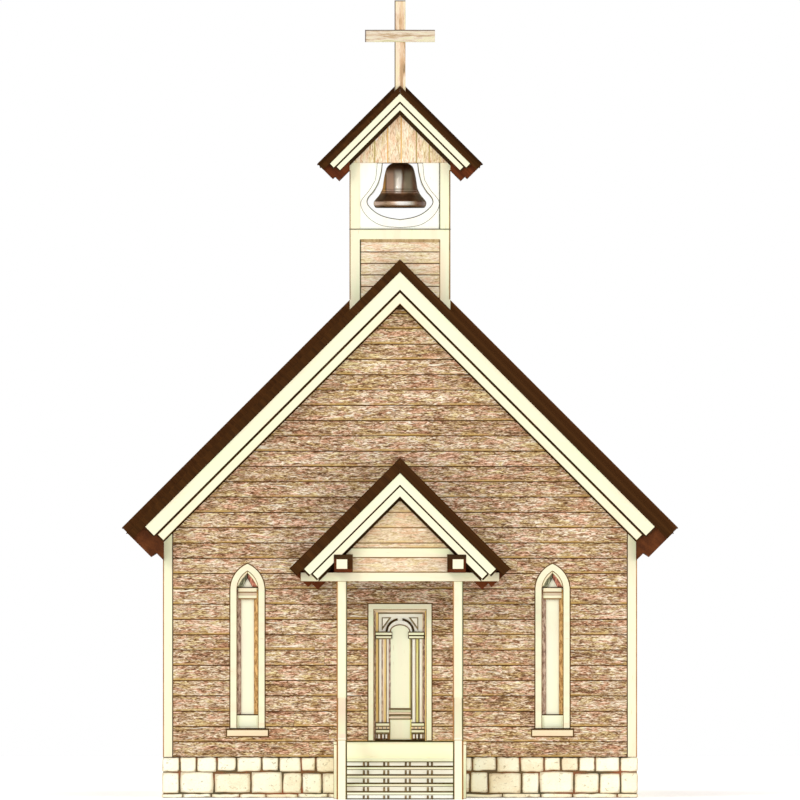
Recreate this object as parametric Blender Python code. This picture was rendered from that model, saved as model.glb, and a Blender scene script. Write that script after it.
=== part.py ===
"""A small timber country church: a gabled nave on a stone footing, an entrance porch with a stair,
and a bell tower with its bell and cross. Metres, +Z up. The entrance front faces -Y and the
origin is at ground level under the middle of the building."""

from math import cos, pi, sin, sqrt

import bmesh
import bpy
from mathutils import Vector

# Clearance left between pieces that rest on each other
GAP = 0.0003
ROOT2 = sqrt(2)

# Nave: every roof here has a 45 degree pitch
WALL_X = 3.755
WALL = 0.20
NAVE_LENGTH = 11.0
FOOTING_TOP = 0.65
FOOTING_PROUD = 0.055
FOOTING_WALL = 0.45
FLOOR_TOP = 0.90
BOARD_WIDE = 0.13
BOARD_THICK = 0.025
FRONT_SPLIT = 4.20

# Main roof, with depths measured square to the slope
ROOF_SPAN = 4.455
ROOF_RIDGE = 8.78
ROOF_RAISED = 0.112
ROOF_DEPTH = 0.25
VERGE = 0.45
VERGE_STEP = 0.6633
EAVE_FASCIA = (0.104, 0.67)
SOFFIT_DEPTH = (0.475, 0.606)

# Entrance stair and porch
STAIR_TREADS = 5
TREAD_GOING = 0.27
TREAD_RISE = 0.1315
TREAD_THICK = 0.05
TREAD_TOP = 0.645
STRING_XS = (-0.544, -0.22, 0.125, 0.477)
PORCH_DEPTH = 1.40
PORCH_HALF = 1.062
POST = 0.14
POST_X = 0.928
NEWEL_REACH = PORCH_DEPTH + STAIR_TREADS * TREAD_GOING + 0.01

# The front wall's outer face, placed so that the whole building is centred on the origin
FRONT = (NEWEL_REACH - NAVE_LENGTH - VERGE) / 2
BACK = FRONT + NAVE_LENGTH

# Lancet windows: the arcs of casing, lining and light share their centres
SPRING_Z = 3.33
ARC_SHIFT = 0.175
CASING_HALF = 0.28
LINING_HALF = 0.20
LIGHT_HALF = 0.17
SILL = (0.979, 1.102)
SILL_HALF = 0.334
WINDOW_X = 2.443

# Doorway
DOOR_HALF = 0.42
DOOR_HEAD = 3.01
DOOR_CLEAR = 0.008
DOOR_THICK = 0.045
JAMB = 0.02

# Porch roof
PORCH_SPAN = 1.766
PORCH_RIDGE = 5.442
PORCH_ROOF_DEPTH = 0.163
PORCH_EDGE = FRONT - PORCH_DEPTH - 0.35
HEADER = (3.467, 3.615)
HEADER_PROUD = 0.02
PLATE_X = (0.762, 1.051)
PLATE_TOP = 3.893

# Bell tower
TOWER_HALF = 0.806
TOWER_FRONT = FRONT + 0.05
TOWER_MID = TOWER_FRONT + TOWER_HALF
TOWER_BACK = TOWER_FRONT + 2 * TOWER_HALF
TOWER_POST = 0.163
SIDING_BACK = 0.02
DECK = (8.944, 9.104)
CHAMBER_TOP = 10.168
BELFRY_SPAN = 1.322
BELFRY_RIDGE = 11.478
BELFRY_RAISED = 0.058
BELFRY_DEPTH = 0.138
BELFRY_VERGE = 0.30
CROSS_TOP = 12.768

# Bell, hung on a timber headstock that turns on iron gudgeons
PIVOT_Z = 10.27
BELL_TOP = 10.172
BELL_MOUTH = 9.448
GUDGEON = 0.024
BEARING_BORE = GUDGEON + 0.0006
CLAPPER_Z = 10.06


# Scene and materials

def clear_scene():
    for obj in list(bpy.data.objects):
        bpy.data.objects.remove(obj, do_unlink=True)


def paint(name, colour, roughness, metallic=0.0):
    material = bpy.data.materials.new(name)
    material.use_nodes = True
    shader = material.node_tree.nodes["Principled BSDF"]
    shader.inputs["Base Color"].default_value = (*colour, 1.0)
    shader.inputs["Roughness"].default_value = roughness
    shader.inputs["Metallic"].default_value = metallic
    material.diffuse_color = (*colour, 1.0)
    return material


# Shape helpers

def add_object(name, bm, material=None):
    """One closed solid from a bmesh. With no material it is a helper and stays out of the model."""
    bmesh.ops.recalc_face_normals(bm, faces=bm.faces)
    mesh = bpy.data.meshes.new(name)
    bm.to_mesh(mesh)
    bm.free()
    obj = bpy.data.objects.new(name, mesh)
    bpy.context.scene.collection.objects.link(obj)
    if material is None:
        obj.hide_render = True
        obj.display_type = "WIRE"
    else:
        mesh.materials.append(material)
    return obj


def place(axis, u, v, along):
    """A point of an outline: the outline of a Y prism is in X and Z, of an X prism in Y and Z."""
    return {"X": (along, u, v), "Y": (u, along, v), "Z": (u, v, along)}[axis]


def prism(name, axis, outline, start, end, material=None):
    """An outline in the plane across the axis, extruded from start to end along it."""
    bm = bmesh.new()
    face = bm.faces.new([bm.verts.new(place(axis, u, v, start)) for u, v in outline])
    grown = bmesh.ops.extrude_face_region(bm, geom=[face])["geom"]
    moved = [v for v in grown if isinstance(v, bmesh.types.BMVert)]
    step = Vector(place(axis, 0, 0, end)) - Vector(place(axis, 0, 0, start))
    bmesh.ops.translate(bm, vec=step, verts=moved)
    return add_object(name, bm, material)


def rectangle(low, high):
    return [(low[0], low[1]), (high[0], low[1]), (high[0], high[1]), (low[0], high[1])]


def block(name, x, y, z, material=None):
    """A box from three (low, high) pairs."""
    return prism(name, "Y", rectangle((x[0], z[0]), (x[1], z[1])), y[0], y[1], material)


def combine(obj, others, operation="UNION"):
    for other in others:
        modifier = obj.modifiers.new(other.name, "BOOLEAN")
        modifier.operation = operation
        modifier.object = other
    return obj


def applied(obj):
    """The object's mesh with its Booleans worked out, for pieces that several objects share."""
    bpy.context.view_layer.update()
    graph = bpy.context.evaluated_depsgraph_get()
    mesh = bpy.data.meshes.new_from_object(obj.evaluated_get(graph))
    for modifier in list(obj.modifiers):
        obj.modifiers.remove(modifier)
    bpy.data.objects.remove(obj, do_unlink=True)
    return mesh


def shared(name, mesh, location, turn=0.0):
    obj = bpy.data.objects.new(name, mesh)
    bpy.context.scene.collection.objects.link(obj)
    obj.location = location
    obj.rotation_euler = (0, 0, turn)
    return obj


def mirrored(outline):
    return [(-u, v) for u, v in outline]


# Roof geometry: s runs up the left slope from the eave, n is the depth square to it

def on_slope(span, ridge, s, n):
    return (-span + (s + n) / ROOT2, ridge - span + (s - n) / ROOT2)


def up_to(span, n, x):
    """The distance up the slope at which depth n reaches -x."""
    return (span - x) * ROOT2 - n


def slope_outline(span, ridge, top, bottom, side, eave=0.0, ridge_gap=GAP):
    """Section of one roof slope between two depths, mitred at the ridge."""
    ends = [(eave, top), (eave, bottom)]
    ends += [(up_to(span, n, ridge_gap), n) for n in (bottom, top)]
    points = [on_slope(span, ridge, s, n) for s, n in ends]
    return mirrored(points) if side > 0 else points


def chevron_outline(span, ridge, top, bottom, eave=None, cut_x=None):
    """An inverted V between two depths, cut square to the slope at eave or upright at cut_x."""
    ends = [eave if cut_x is None else up_to(span, n, cut_x) for n in (top, bottom)]
    outer = on_slope(span, ridge, ends[0], top)
    inner = on_slope(span, ridge, ends[1], bottom)
    outer_peak = (0.0, ridge - top * ROOT2)
    inner_peak = (0.0, ridge - bottom * ROOT2)
    return [outer, outer_peak, (-outer[0], outer[1]), (-inner[0], inner[1]), inner_peak, inner]


def eave_box_outline(span, ridge, depth, fascia, body, wall_x, side):
    """A boxed eave: a fascia square to the slope, and behind it a deeper body up to the wall."""
    thick, drop = fascia
    wall_n = up_to(span, 0, wall_x) - thick
    points = [(0, depth), (0, drop), (thick, drop), (thick, min(body, wall_n))]
    if body < wall_n:
        points.append((up_to(span, body, wall_x), body))
    points.append((up_to(span, depth, wall_x), depth))
    outline = [on_slope(span, ridge, s, n) for s, n in points]
    return mirrored(outline) if side > 0 else outline


def lancet(half, bottom, steps=6):
    """A pointed-arch outline in X and Z whose arcs share their centres with the casing's."""
    radius = half + ARC_SHIFT
    top = sqrt(radius**2 - ARC_SHIFT**2)
    reach = pi / 2 - Vector((ARC_SHIFT, top)).angle(Vector((0, 1)))
    right = []
    for i in range(steps):
        angle = reach * i / steps
        right.append((-ARC_SHIFT + radius * cos(angle), SPRING_Z + radius * sin(angle)))
    left = [(-x, z) for x, z in reversed(right)]
    return [(-half, bottom), (half, bottom), *right, (0.0, SPRING_Z + top), *left]


# Masonry, floor and walls of the nave

def make_footing(stone):
    outer_x = WALL_X + FOOTING_PROUD
    inner_x = outer_x - FOOTING_WALL
    low, high = FRONT - FOOTING_PROUD, BACK + FOOTING_PROUD
    ring = block("stone_foundation", (-outer_x, outer_x), (low, high), (0, FOOTING_TOP), stone)
    hollow_y = (low + FOOTING_WALL, high - FOOTING_WALL)
    hollow = block("footing_hollow", (-inner_x, inner_x), hollow_y, (-0.1, FOOTING_TOP + 0.1))
    combine(ring, [hollow], "DIFFERENCE")


def make_floor(wood):
    inside_x = WALL_X - WALL - GAP
    inside_y = (FRONT + WALL + GAP, BACK - WALL - GAP)
    block("nave_floor", (-inside_x, inside_x), inside_y, (FOOTING_TOP + GAP, FLOOR_TOP), wood)


def roof_underside(x):
    return ROOF_RIDGE - x - (ROOF_DEPTH + GAP) * ROOT2


def window_hole(name, location, turn=0.0):
    """A lancet cutter that goes right through a wall."""
    outline = lancet(LINING_HALF + GAP, SILL[1])
    obj = prism(name, "Y", outline, -0.1, WALL + 0.1)
    obj.location = location
    obj.rotation_euler = (0, 0, turn)
    return obj


def make_front_walls(siding):
    base = FOOTING_TOP + GAP
    jamb_x = DOOR_HALF + JAMB + GAP
    depth = (FRONT, FRONT + WALL)
    for side, word in ((-1, "left"), (1, "right")):
        x = sorted((side * WALL_X, side * jamb_x))
        wall = block("front_wall_" + word, x, depth, (base, FRONT_SPLIT - GAP), siding)
        hole = window_hole("hole_front_" + word, (side * WINDOW_X, FRONT, 0))
        combine(wall, [hole], "DIFFERENCE")
    stem_x, stem_z = jamb_x - GAP, DOOR_HEAD + JAMB + GAP
    shoulder = [(stem_x, stem_z), (stem_x, FRONT_SPLIT), (WALL_X, FRONT_SPLIT)]
    right = [*shoulder, (WALL_X, roof_underside(WALL_X))]
    left = [(-x, z) for x, z in reversed(right)]
    outline = [*right, (0.0, roof_underside(0)), *left]
    prism("front_gable_wall", "Y", outline, *depth, siding)


def make_side_and_back_walls(siding, window_ys):
    base = FOOTING_TOP + GAP
    inner = WALL_X - WALL
    section = [(inner, base), (WALL_X, base), (WALL_X, roof_underside(WALL_X))]
    section.append((inner, roof_underside(inner)))
    length = (FRONT + WALL + GAP, BACK - WALL - GAP)
    for side, word, turn in ((-1, "left", -pi / 2), (1, "right", pi / 2)):
        outline = section if side > 0 else mirrored(section)
        wall = prism(word + "_wall", "Y", outline, *length, siding)
        holes = [
            window_hole(f"hole_{word}_{i + 1}", (side * WALL_X, y, 0), turn)
            for i, y in enumerate(window_ys)
        ]
        combine(wall, holes, "DIFFERENCE")
    gable = [(-WALL_X, base), (WALL_X, base), (WALL_X, roof_underside(WALL_X))]
    gable += [(0.0, roof_underside(0)), (-WALL_X, roof_underside(WALL_X))]
    wall = prism("back_wall", "Y", gable, BACK - WALL, BACK, siding)
    combine(wall, [window_hole("hole_back", (0, BACK, 0), pi)], "DIFFERENCE")


def make_corner_trim(cream):
    """Corner boards at both ends of a side wall, joined by the frieze board under the eave."""
    top = 4.13
    frieze_low = 3.762
    out, near = WALL_X + BOARD_THICK, WALL_X + GAP
    base = FOOTING_TOP + GAP
    soffit_z = ROOF_RIDGE - (SOFFIT_DEPTH[1] + GAP) * ROOT2
    for side, word in ((-1, "left"), (1, "right")):
        def at(x0, x1, mirror=side):
            return sorted((mirror * x0, mirror * x1))

        ends = {"front": (FRONT, 1), "back": (BACK, -1)}
        pieces = []
        for end, (face, inward) in ends.items():
            side_y = sorted((face - inward * BOARD_THICK, face + inward * BOARD_WIDE))
            face_y = sorted((face - inward * BOARD_THICK, face - inward * GAP))
            pieces.append(
                block(f"{word}_{end}_board", at(near, out), side_y, (base, top))
            )
            lap_x = (WALL_X - BOARD_WIDE + BOARD_THICK, out - 0.01)
            lap = [(lap_x[0], base), (lap_x[1], base)]
            lap += [(lap_x[1], soffit_z - lap_x[1]), (lap_x[0], soffit_z - lap_x[0])]
            outline = lap if side > 0 else mirrored(lap)
            pieces.append(prism(f"{word}_{end}_lap", "Y", outline, *face_y))
        frieze_y = (FRONT + BOARD_WIDE / 2, BACK - BOARD_WIDE / 2)
        frieze_x = at(near, out - 0.002)
        frieze = block(word + "_corner_trim", frieze_x, frieze_y, (frieze_low, top - 0.002), cream)
        combine(frieze, pieces)


# Roof of the nave

def make_main_roof(shingle, red_brown):
    """Each slope is one slab whose field stands above a lower verge strip at both gables."""
    verge_y = (FRONT - VERGE, BACK + VERGE)
    field_y = (verge_y[0] + VERGE_STEP, verge_y[1] - VERGE_STEP)
    board_back = 0.07
    for side, word in ((-1, "left"), (1, "right")):
        low = slope_outline(ROOF_SPAN, ROOF_RIDGE, ROOF_RAISED, ROOF_DEPTH, side)
        slab = prism(f"roof_{word}_slope", "Y", low, *verge_y, shingle)
        high = slope_outline(
            ROOF_SPAN, ROOF_RIDGE, 0, ROOF_DEPTH - 0.05, side, eave=0.002, ridge_gap=0.002
        )
        combine(slab, [prism(f"{word}_field", "Y", high, *field_y)])
        box = eave_box_outline(
            ROOF_SPAN, ROOF_RIDGE, ROOF_DEPTH + GAP, EAVE_FASCIA, 2.0,
            WALL_X + BOARD_THICK + GAP, side,
        )
        box_y = (verge_y[0] + board_back + GAP, verge_y[1] - board_back - GAP)
        prism(word + "_eave_box", "Y", box, *box_y, red_brown)


def make_main_barge(name, face, out, cream):
    """Two stepped barge boards and the soffit behind them. out is -1 at the front, 1 at the back."""
    edge = face + out * VERGE
    top = ROOF_DEPTH + GAP

    def layer(piece, near, far, outline, material=None):
        y = sorted((edge - out * near, edge - out * far))
        return prism(piece, "Y", outline, *y, material)

    outer = chevron_outline(ROOF_SPAN, ROOF_RIDGE, top, 0.462, eave=0.272)
    inner = chevron_outline(ROOF_SPAN, ROOF_RIDGE, 0.455, 0.616, eave=0.328)
    soffit_x = WALL_X + BOARD_THICK - GAP
    soffit = chevron_outline(ROOF_SPAN, ROOF_RIDGE, *SOFFIT_DEPTH, cut_x=soffit_x)
    board = layer(name, 0.02, 0.07, outer, cream)
    lower = layer(name + "_lower", 0.04, 0.068, inner)
    boxed = layer(name + "_soffit", 0.06, VERGE - GAP, soffit)
    combine(board, [lower, boxed])


# Windows

def make_window_meshes(cream, glass):
    """The joinery of one lancet window and its pane, in a frame with the wall face at y = 0."""
    casing = prism("casing", "Y", lancet(CASING_HALF, SILL[1] - 0.01), -0.03, -GAP, cream)
    lining = prism("lining", "Y", lancet(LINING_HALF, SILL[1] + GAP), -0.02, WALL)
    light = prism("light", "Y", lancet(LIGHT_HALF, SILL[1] + 0.02), -0.1, WALL + 0.1)
    sash = prism("sash", "Y", lancet(LIGHT_HALF + 0.01, SILL[1] + 0.01), 0.10, 0.14)
    tall = block("tall_light", (-0.10, 0.10), (0, 0.2), (1.32, 3.17))
    upper_outline = lancet(LIGHT_HALF - 0.06, SPRING_Z - 0.02, steps=4)
    upper = prism("upper_light", "Y", upper_outline, 0.0, 0.2)
    rail = block("bottom_rail", (-0.165, 0.165), (0.085, 0.12), (1.105, 1.318))
    transom = block("transom", (-0.165, 0.165), (0.075, 0.12), (3.185, 3.30))
    sill = block("sill", (-SILL_HALF, SILL_HALF), (-0.07, -GAP), SILL)
    combine(casing, [lining])
    combine(casing, [light], "DIFFERENCE")
    combine(casing, [sash])
    combine(casing, [tall, upper], "DIFFERENCE")
    combine(casing, [rail, transom, sill])
    frame = applied(casing)
    pane = applied(
        prism("pane", "Y", lancet(LIGHT_HALF - GAP, SILL[1] + 0.0205), 0.14 + GAP, 0.148, glass)
    )
    for helper in (lining, light, sash, tall, upper, rail, transom, sill):
        bpy.data.objects.remove(helper, do_unlink=True)
    return frame, pane


def make_windows(cream, glass, window_ys):
    frame, pane = make_window_meshes(cream, glass)
    for side, word in ((-1, "left"), (1, "right")):
        spot = (side * WINDOW_X, FRONT, 0)
        shared("front_window_" + word, frame, spot)
        shared("front_pane_" + word, pane, spot)
    for side, word, turn in ((-1, "left", -pi / 2), (1, "right", pi / 2)):
        for i, y in enumerate(window_ys):
            shared(f"{word}_window_{i + 1}", frame, (side * WALL_X, y, 0), turn)
        inner = WALL_X - WALL - GAP
        sheet_x = sorted((side * inner, side * (inner - 0.008)))
        sheet_y = (window_ys[0] - 0.25, window_ys[-1] + 0.25)
        block(word + "_glass_sheet", sheet_x, sheet_y, (SILL[1], 3.75), glass)
    shared("back_window", frame, (0, BACK, 0), pi)
    shared("back_pane", pane, (0, BACK, 0), pi)


# Entrance door

def portal(half, top, low):
    """A door-shaped outline in X and Z."""
    return rectangle((-half, low), (half, top))


def hinge_levels():
    return (1.20, 1.95, 2.72)


def knuckle(name, z0, z1, radius=0.011):
    """One round of a hinge barrel, standing on the inner face of the door at its left edge."""
    axis = (-DOOR_HALF + 0.004, FRONT + WALL + 0.012)
    outline = [
        (axis[0] + radius * cos(a), axis[1] + radius * sin(a))
        for a in (2 * pi * i / 12 for i in range(12))
    ]
    return prism(name, "Z", outline, z0, z1)


def make_door(cream):
    low = FOOTING_TOP + GAP
    casing = prism(
        "door_casing", "Y", portal(0.511, 3.107, FLOOR_TOP + 0.01), FRONT - 0.03, FRONT - GAP, cream
    )
    lining = prism(
        "door_lining", "Y", portal(DOOR_HALF + JAMB, DOOR_HEAD + JAMB, low), FRONT - 0.02, FRONT + WALL
    )
    stop_half = DOOR_HALF - 0.02
    way = prism(
        "door_way", "Y", portal(stop_half, DOOR_HEAD - 0.02, FLOOR_TOP), FRONT - 0.2, FRONT + 0.4
    )
    face_rebate = prism(
        "face_rebate", "Y", portal(DOOR_HALF, DOOR_HEAD, FLOOR_TOP + 0.001), FRONT - 0.2, FRONT + 0.11
    )
    leaf_rebate = prism(
        "leaf_rebate", "Y", portal(DOOR_HALF, DOOR_HEAD, FLOOR_TOP + 0.001), FRONT + 0.149, FRONT + 0.4
    )
    combine(casing, [lining])
    combine(casing, [way, face_rebate, leaf_rebate], "DIFFERENCE")
    half = DOOR_HALF - DOOR_CLEAR
    inner = FRONT + WALL
    leaf_z = (FLOOR_TOP + DOOR_CLEAR, DOOR_HEAD - DOOR_CLEAR)
    leaf = block("door_leaf", (-half, half), (inner - DOOR_THICK, inner), leaf_z, cream)
    for i, z in enumerate(hinge_levels()):
        parts = (("low", z, z + 0.03), ("high", z + 0.071, z + 0.101))
        for word, z0, z1 in parts:
            fixed = knuckle(f"jamb_knuckle_{word}_{i}", z0, z1)
            flap_x = (-DOOR_HALF - 0.018, -DOOR_HALF + 0.002)
            flap_y = (inner - 0.002, inner + 0.006)
            flap = block(f"jamb_flap_{word}_{i}", flap_x, flap_y, (z0 + 0.001, z1 - 0.001))
            combine(casing, [flap, fixed])
        moving = knuckle(f"leaf_knuckle_{i}", z + 0.0305, z + 0.0705)
        flap_x = (-DOOR_HALF + 0.004, -DOOR_HALF + 0.05)
        flap = block(
            f"leaf_flap_{i}", flap_x, (inner - 0.002, inner + 0.006), (z + 0.032, z + 0.069)
        )
        combine(leaf, [flap, moving])
    add_leaf_mouldings(leaf, inner - DOOR_THICK)


def add_leaf_mouldings(leaf, face):
    """Twin half columns with caps and bases either side of a tall arched panel."""
    outer = face - 0.03
    for side, word in ((-1, "left"), (1, "right")):
        for i, x in enumerate((0.315, 0.205)):
            shaft_x = (side * x - 0.024, side * x + 0.024)
            shaft = block(f"shaft_{word}_{i}", shaft_x, (outer, face + 0.005), (1.10, 2.56))
            combine(leaf, [shaft])
        centre = side * 0.26
        for part, half, z, proud in (
            ("cap", 0.125, (2.535, 2.645), 0.012),
            ("base", 0.115, (0.925, 1.205), 0.008),
        ):
            piece = block(
                f"{part}_{word}", (centre - half, centre + half), (outer - proud, face + 0.006), z
            )
            combine(leaf, [piece])
    rail = block("lock_rail", (-0.152, 0.152), (outer + 0.01, face + 0.007), (1.27, 1.40))
    combine(leaf, [rail])
    rise = 12
    arch_outer = [(0.19 * cos(pi * i / rise), 2.62 + 0.27 * sin(pi * i / rise)) for i in range(rise + 1)]
    arch_inner = [(0.13 * cos(pi * i / rise), 2.62 + 0.20 * sin(pi * i / rise)) for i in range(rise + 1)]
    band = prism(
        "arch_band", "Y", [*arch_outer, *reversed(arch_inner)], outer + 0.005, face + 0.008
    )
    combine(leaf, [band])


# Porch and stair

def make_platform(cream):
    """A boarded deck on closed side and front skirts, open underneath."""
    deck_back = FRONT - 0.03 - GAP
    skirt_back = FRONT - FOOTING_PROUD - GAP
    front = FRONT - PORCH_DEPTH
    outline = [(front, 0), (skirt_back, 0), (skirt_back, FOOTING_TOP + GAP), (deck_back, FOOTING_TOP + GAP)]
    outline += [(deck_back, FLOOR_TOP), (front, FLOOR_TOP)]
    deck = prism("porch_platform", "X", outline, -PORCH_HALF, PORCH_HALF, cream)
    room_x = PORCH_HALF - 0.05
    room = block("under_deck", (-room_x, room_x), (front + 0.05, FRONT + 0.1), (-0.1, 0.84))
    combine(deck, [room], "DIFFERENCE")


def make_stair(cream):
    """Five plank treads on four sawn strings, with open risers."""
    front = FRONT - PORCH_DEPTH
    half = POST_X - POST / 2 - 0.003
    tops = [TREAD_TOP - TREAD_RISE * i for i in range(STAIR_TREADS)]
    saw = [(front - GAP, 0.0)]
    saw.append((front - GAP, tops[0] - TREAD_THICK + 0.004))
    for i, top in enumerate(tops):
        y = front - TREAD_GOING * (i + 1) + 0.02
        saw.append((y, top - TREAD_THICK + 0.004))
        if i + 1 < STAIR_TREADS:
            saw.append((y, tops[i + 1] - TREAD_THICK + 0.004))
    saw.append((front - TREAD_GOING * STAIR_TREADS + 0.02, 0.0))
    treads = []
    for i, top in enumerate(tops):
        y1 = front - GAP if i == 0 else front - TREAD_GOING * i + 0.012
        y0 = front - TREAD_GOING * (i + 1)
        treads.append(block(f"tread_{i}", (-half, half), (y0, y1), (top - TREAD_THICK, top)))
    strings = [prism(f"string_{x}", "X", saw, x - 0.03, x + 0.03) for x in STRING_XS[1:]]
    stair = prism("front_stair", "X", saw, STRING_XS[0] - 0.03, STRING_XS[0] + 0.03, cream)
    combine(stair, [*treads, *strings])


def make_rails(cream):
    """A newel at the foot of each side of the stair and a sloping rail back to the porch post."""
    newel_y = (FRONT - NEWEL_REACH, FRONT - NEWEL_REACH + POST)
    post_face = FRONT - PORCH_DEPTH - GAP
    top, newel_top = 1.616, 0.95
    half = POST / 2
    for side, word in ((-1, "left"), (1, "right")):
        x = (side * POST_X - half, side * POST_X + half)
        newel = block(f"stair_rail_{word}", x, newel_y, (0, newel_top), cream)
        low_y = newel_y[0] + 0.01
        outline = [(low_y, newel_top - 0.05), (post_face, top - 0.075), (post_face, top)]
        outline.append((low_y, newel_top + 0.03))
        rail = prism(f"rail_{word}", "X", outline, x[0] + 0.003, x[1] - 0.003)
        combine(newel, [rail])


def plate_span(side, clear=0.0):
    return sorted((side * (PLATE_X[0] - clear), side * (PLATE_X[1] + clear)))


def make_porch_frame(cream, siding):
    front = FRONT - PORCH_DEPTH
    half = POST / 2
    for side, word in ((-1, "left"), (1, "right")):
        x = (side * POST_X - half, side * POST_X + half)
        post_z = (FLOOR_TOP + GAP, HEADER[0] - GAP)
        block(f"porch_post_{word}", x, (front, front + POST), post_z, cream)
    header_y = (front - HEADER_PROUD, front + 0.16)
    header = block("porch_beams", (-1.59, 1.59), header_y, HEADER, cream)
    for side in (-1, 1):
        plate_y = (PORCH_EDGE + 0.012, FRONT - GAP)
        plate = block(f"plate_{side}", plate_span(side), plate_y, (HEADER[1] - 0.005, PLATE_TOP))
        cap_x = sorted((side * 0.842, side * 1.013))
        cap_y = (PORCH_EDGE - 0.01, PORCH_EDGE + 0.02)
        cap = block(f"plate_cap_{side}", cap_x, cap_y, (3.672, 3.824))
        combine(header, [plate, cap])
    inner = PLATE_X[0] - GAP
    peak = PORCH_RIDGE - (PORCH_ROOF_DEPTH + GAP) * ROOT2
    shelf = PLATE_TOP + GAP
    right = [(inner, HEADER[1] + GAP), (inner, shelf), (peak - shelf, shelf)]
    outline = [*right, (0.0, peak), *[(-x, z) for x, z in reversed(right)]]
    gable = prism("porch_gable", "Y", outline, front, front + 0.06, siding)
    collar_right = [(inner - 0.005, 3.85), (inner - 0.005, shelf + 0.002), (0.92, shelf + 0.002), (0.81, 4.003)]
    collar = [*collar_right, *[(-x, z) for x, z in reversed(collar_right)]]
    combine(gable, [prism("collar", "Y", collar, front - 0.03, front + 0.005)])


def make_porch_roof(shingle, cream):
    header_back = FRONT - PORCH_DEPTH + 0.16
    for side, word in ((-1, "left"), (1, "right")):
        section = slope_outline(PORCH_SPAN, PORCH_RIDGE, 0, PORCH_ROOF_DEPTH, side)
        slab_y = (PORCH_EDGE, FRONT - 0.03 - GAP)
        slab = prism(f"porch_roof_{word}", "Y", section, *slab_y, shingle)
        box = eave_box_outline(
            PORCH_SPAN - 0.002, PORCH_RIDGE - 0.002, PORCH_ROOF_DEPTH - 0.02, (0.08, 0.42), 0.56,
            PLATE_X[1] + GAP, side,
        )
        eave = prism(f"porch_eave_{word}", "Y", box, header_back + GAP, FRONT - 0.031 - GAP)
        combine(slab, [eave])
    top = PORCH_ROOF_DEPTH + GAP
    outer = chevron_outline(PORCH_SPAN, PORCH_RIDGE, top, 0.314, eave=0.155)
    inner = chevron_outline(PORCH_SPAN, PORCH_RIDGE, 0.308, 0.439, eave=0.20)
    board = prism("porch_barge_boards", "Y", outer, PORCH_EDGE + 0.02, PORCH_EDGE + 0.06, cream)
    soffit_back = FRONT - PORCH_DEPTH - HEADER_PROUD - GAP
    lower = prism("porch_barge_lower", "Y", inner, PORCH_EDGE + 0.035, soffit_back)
    combine(board, [lower])
    notch_z = (HEADER[1] - 0.01, PLATE_TOP + GAP)
    notch_y = (PORCH_EDGE - 0.1, FRONT)
    notches = [
        block(f"plate_notch_{side}", plate_span(side, GAP), notch_y, notch_z) for side in (-1, 1)
    ]
    combine(board, notches, "DIFFERENCE")


# Bell tower

def roof_line(x, raised):
    """Height of the nave roof's top surface under the tower."""
    return ROOF_RIDGE - x - (0 if raised else ROOF_RAISED * ROOT2) + GAP * ROOT2


def make_tower_walls(siding):
    """A square boarded box that straddles the ridge, its bottom cut to the roof."""
    half = TOWER_HALF - SIDING_BACK - GAP
    y = (TOWER_FRONT + SIDING_BACK + GAP, TOWER_BACK - SIDING_BACK - GAP)
    top = DECK[0] - GAP
    walls = block("belfry_base_walls", (-half, half), y, (7.6, top), siding)
    inside = half - 0.08
    room = block("tower_room", (-inside, inside), (y[0] + 0.08, y[1] - 0.08), (7.5, top + 0.1))
    combine(walls, [room, *roof_cutters("walls")], "DIFFERENCE")


def roof_cutters(word):
    """Wedges that trim the tower's foot to the lower verge in front and the raised field behind."""
    cutters = []
    step_y = FRONT - VERGE + VERGE_STEP - GAP
    spans = ((False, FRONT - 1, step_y), (True, step_y - 0.001, FRONT + 4))
    for raised, y0, y1 in spans:
        peak = roof_line(0, raised)
        outline = [(-2.5, peak - 2.5), (0, peak), (2.5, peak - 2.5), (2.5, 5), (-2.5, 5)]
        cutters.append(prism(f"foot_{word}_{raised}", "Y", outline, y0, y1))
    return cutters


def make_tower_frame(cream):
    """Corner boards, the deck of the bell chamber, its four posts and the plates on them."""
    half = TOWER_HALF
    deck = block("belfry_frame", (-half, half), (TOWER_FRONT, TOWER_BACK), DECK, cream)
    inside = half - SIDING_BACK
    boards = []
    for sx, wx in ((-1, "left"), (1, "right")):
        for face, inward, wy in ((TOWER_FRONT, 1, "front"), (TOWER_BACK, -1, "back")):
            x = sorted((sx * half, sx * (half - TOWER_POST)))
            y = sorted((face, face + inward * TOWER_POST))
            corner = block(f"corner_{wx}_{wy}", x, y, (7.5, DECK[0] + 0.01))
            core_x = sorted((sx * inside, sx * (half - 2 * TOWER_POST)))
            core_y = sorted((face + inward * SIDING_BACK, face + inward * 2 * TOWER_POST))
            core = block(f"core_{wx}_{wy}", core_x, core_y, (7.4, DECK[0]))
            combine(corner, [core, *roof_cutters(f"{wx}_{wy}")], "DIFFERENCE")
            boards.append(corner)
            post = block(f"post_{wx}_{wy}", x, y, (DECK[1] - 0.01, CHAMBER_TOP - GAP))
            boards.append(post)
        plate_y = (TOWER_FRONT + 0.0503, TOWER_BACK - 0.0503)
        plate_x = sorted((sx * (half - 0.001), sx * (half - TOWER_POST + 0.001)))
        boards.append(block(f"plate_{wx}", plate_x, plate_y, (10.06, 10.22)))
        boards.append(bearing(wx, sx))
    for y0, y1, wy in (
        (TOWER_FRONT + 0.0513, TOWER_FRONT + 0.15, "front"),
        (TOWER_BACK - 0.15, TOWER_BACK - 0.0513, "back"),
    ):
        boards.append(block(f"tie_{wy}", (-half + 0.003, half - 0.003), (y0, y1), (10.19, 10.34)))
    combine(deck, boards)


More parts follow.
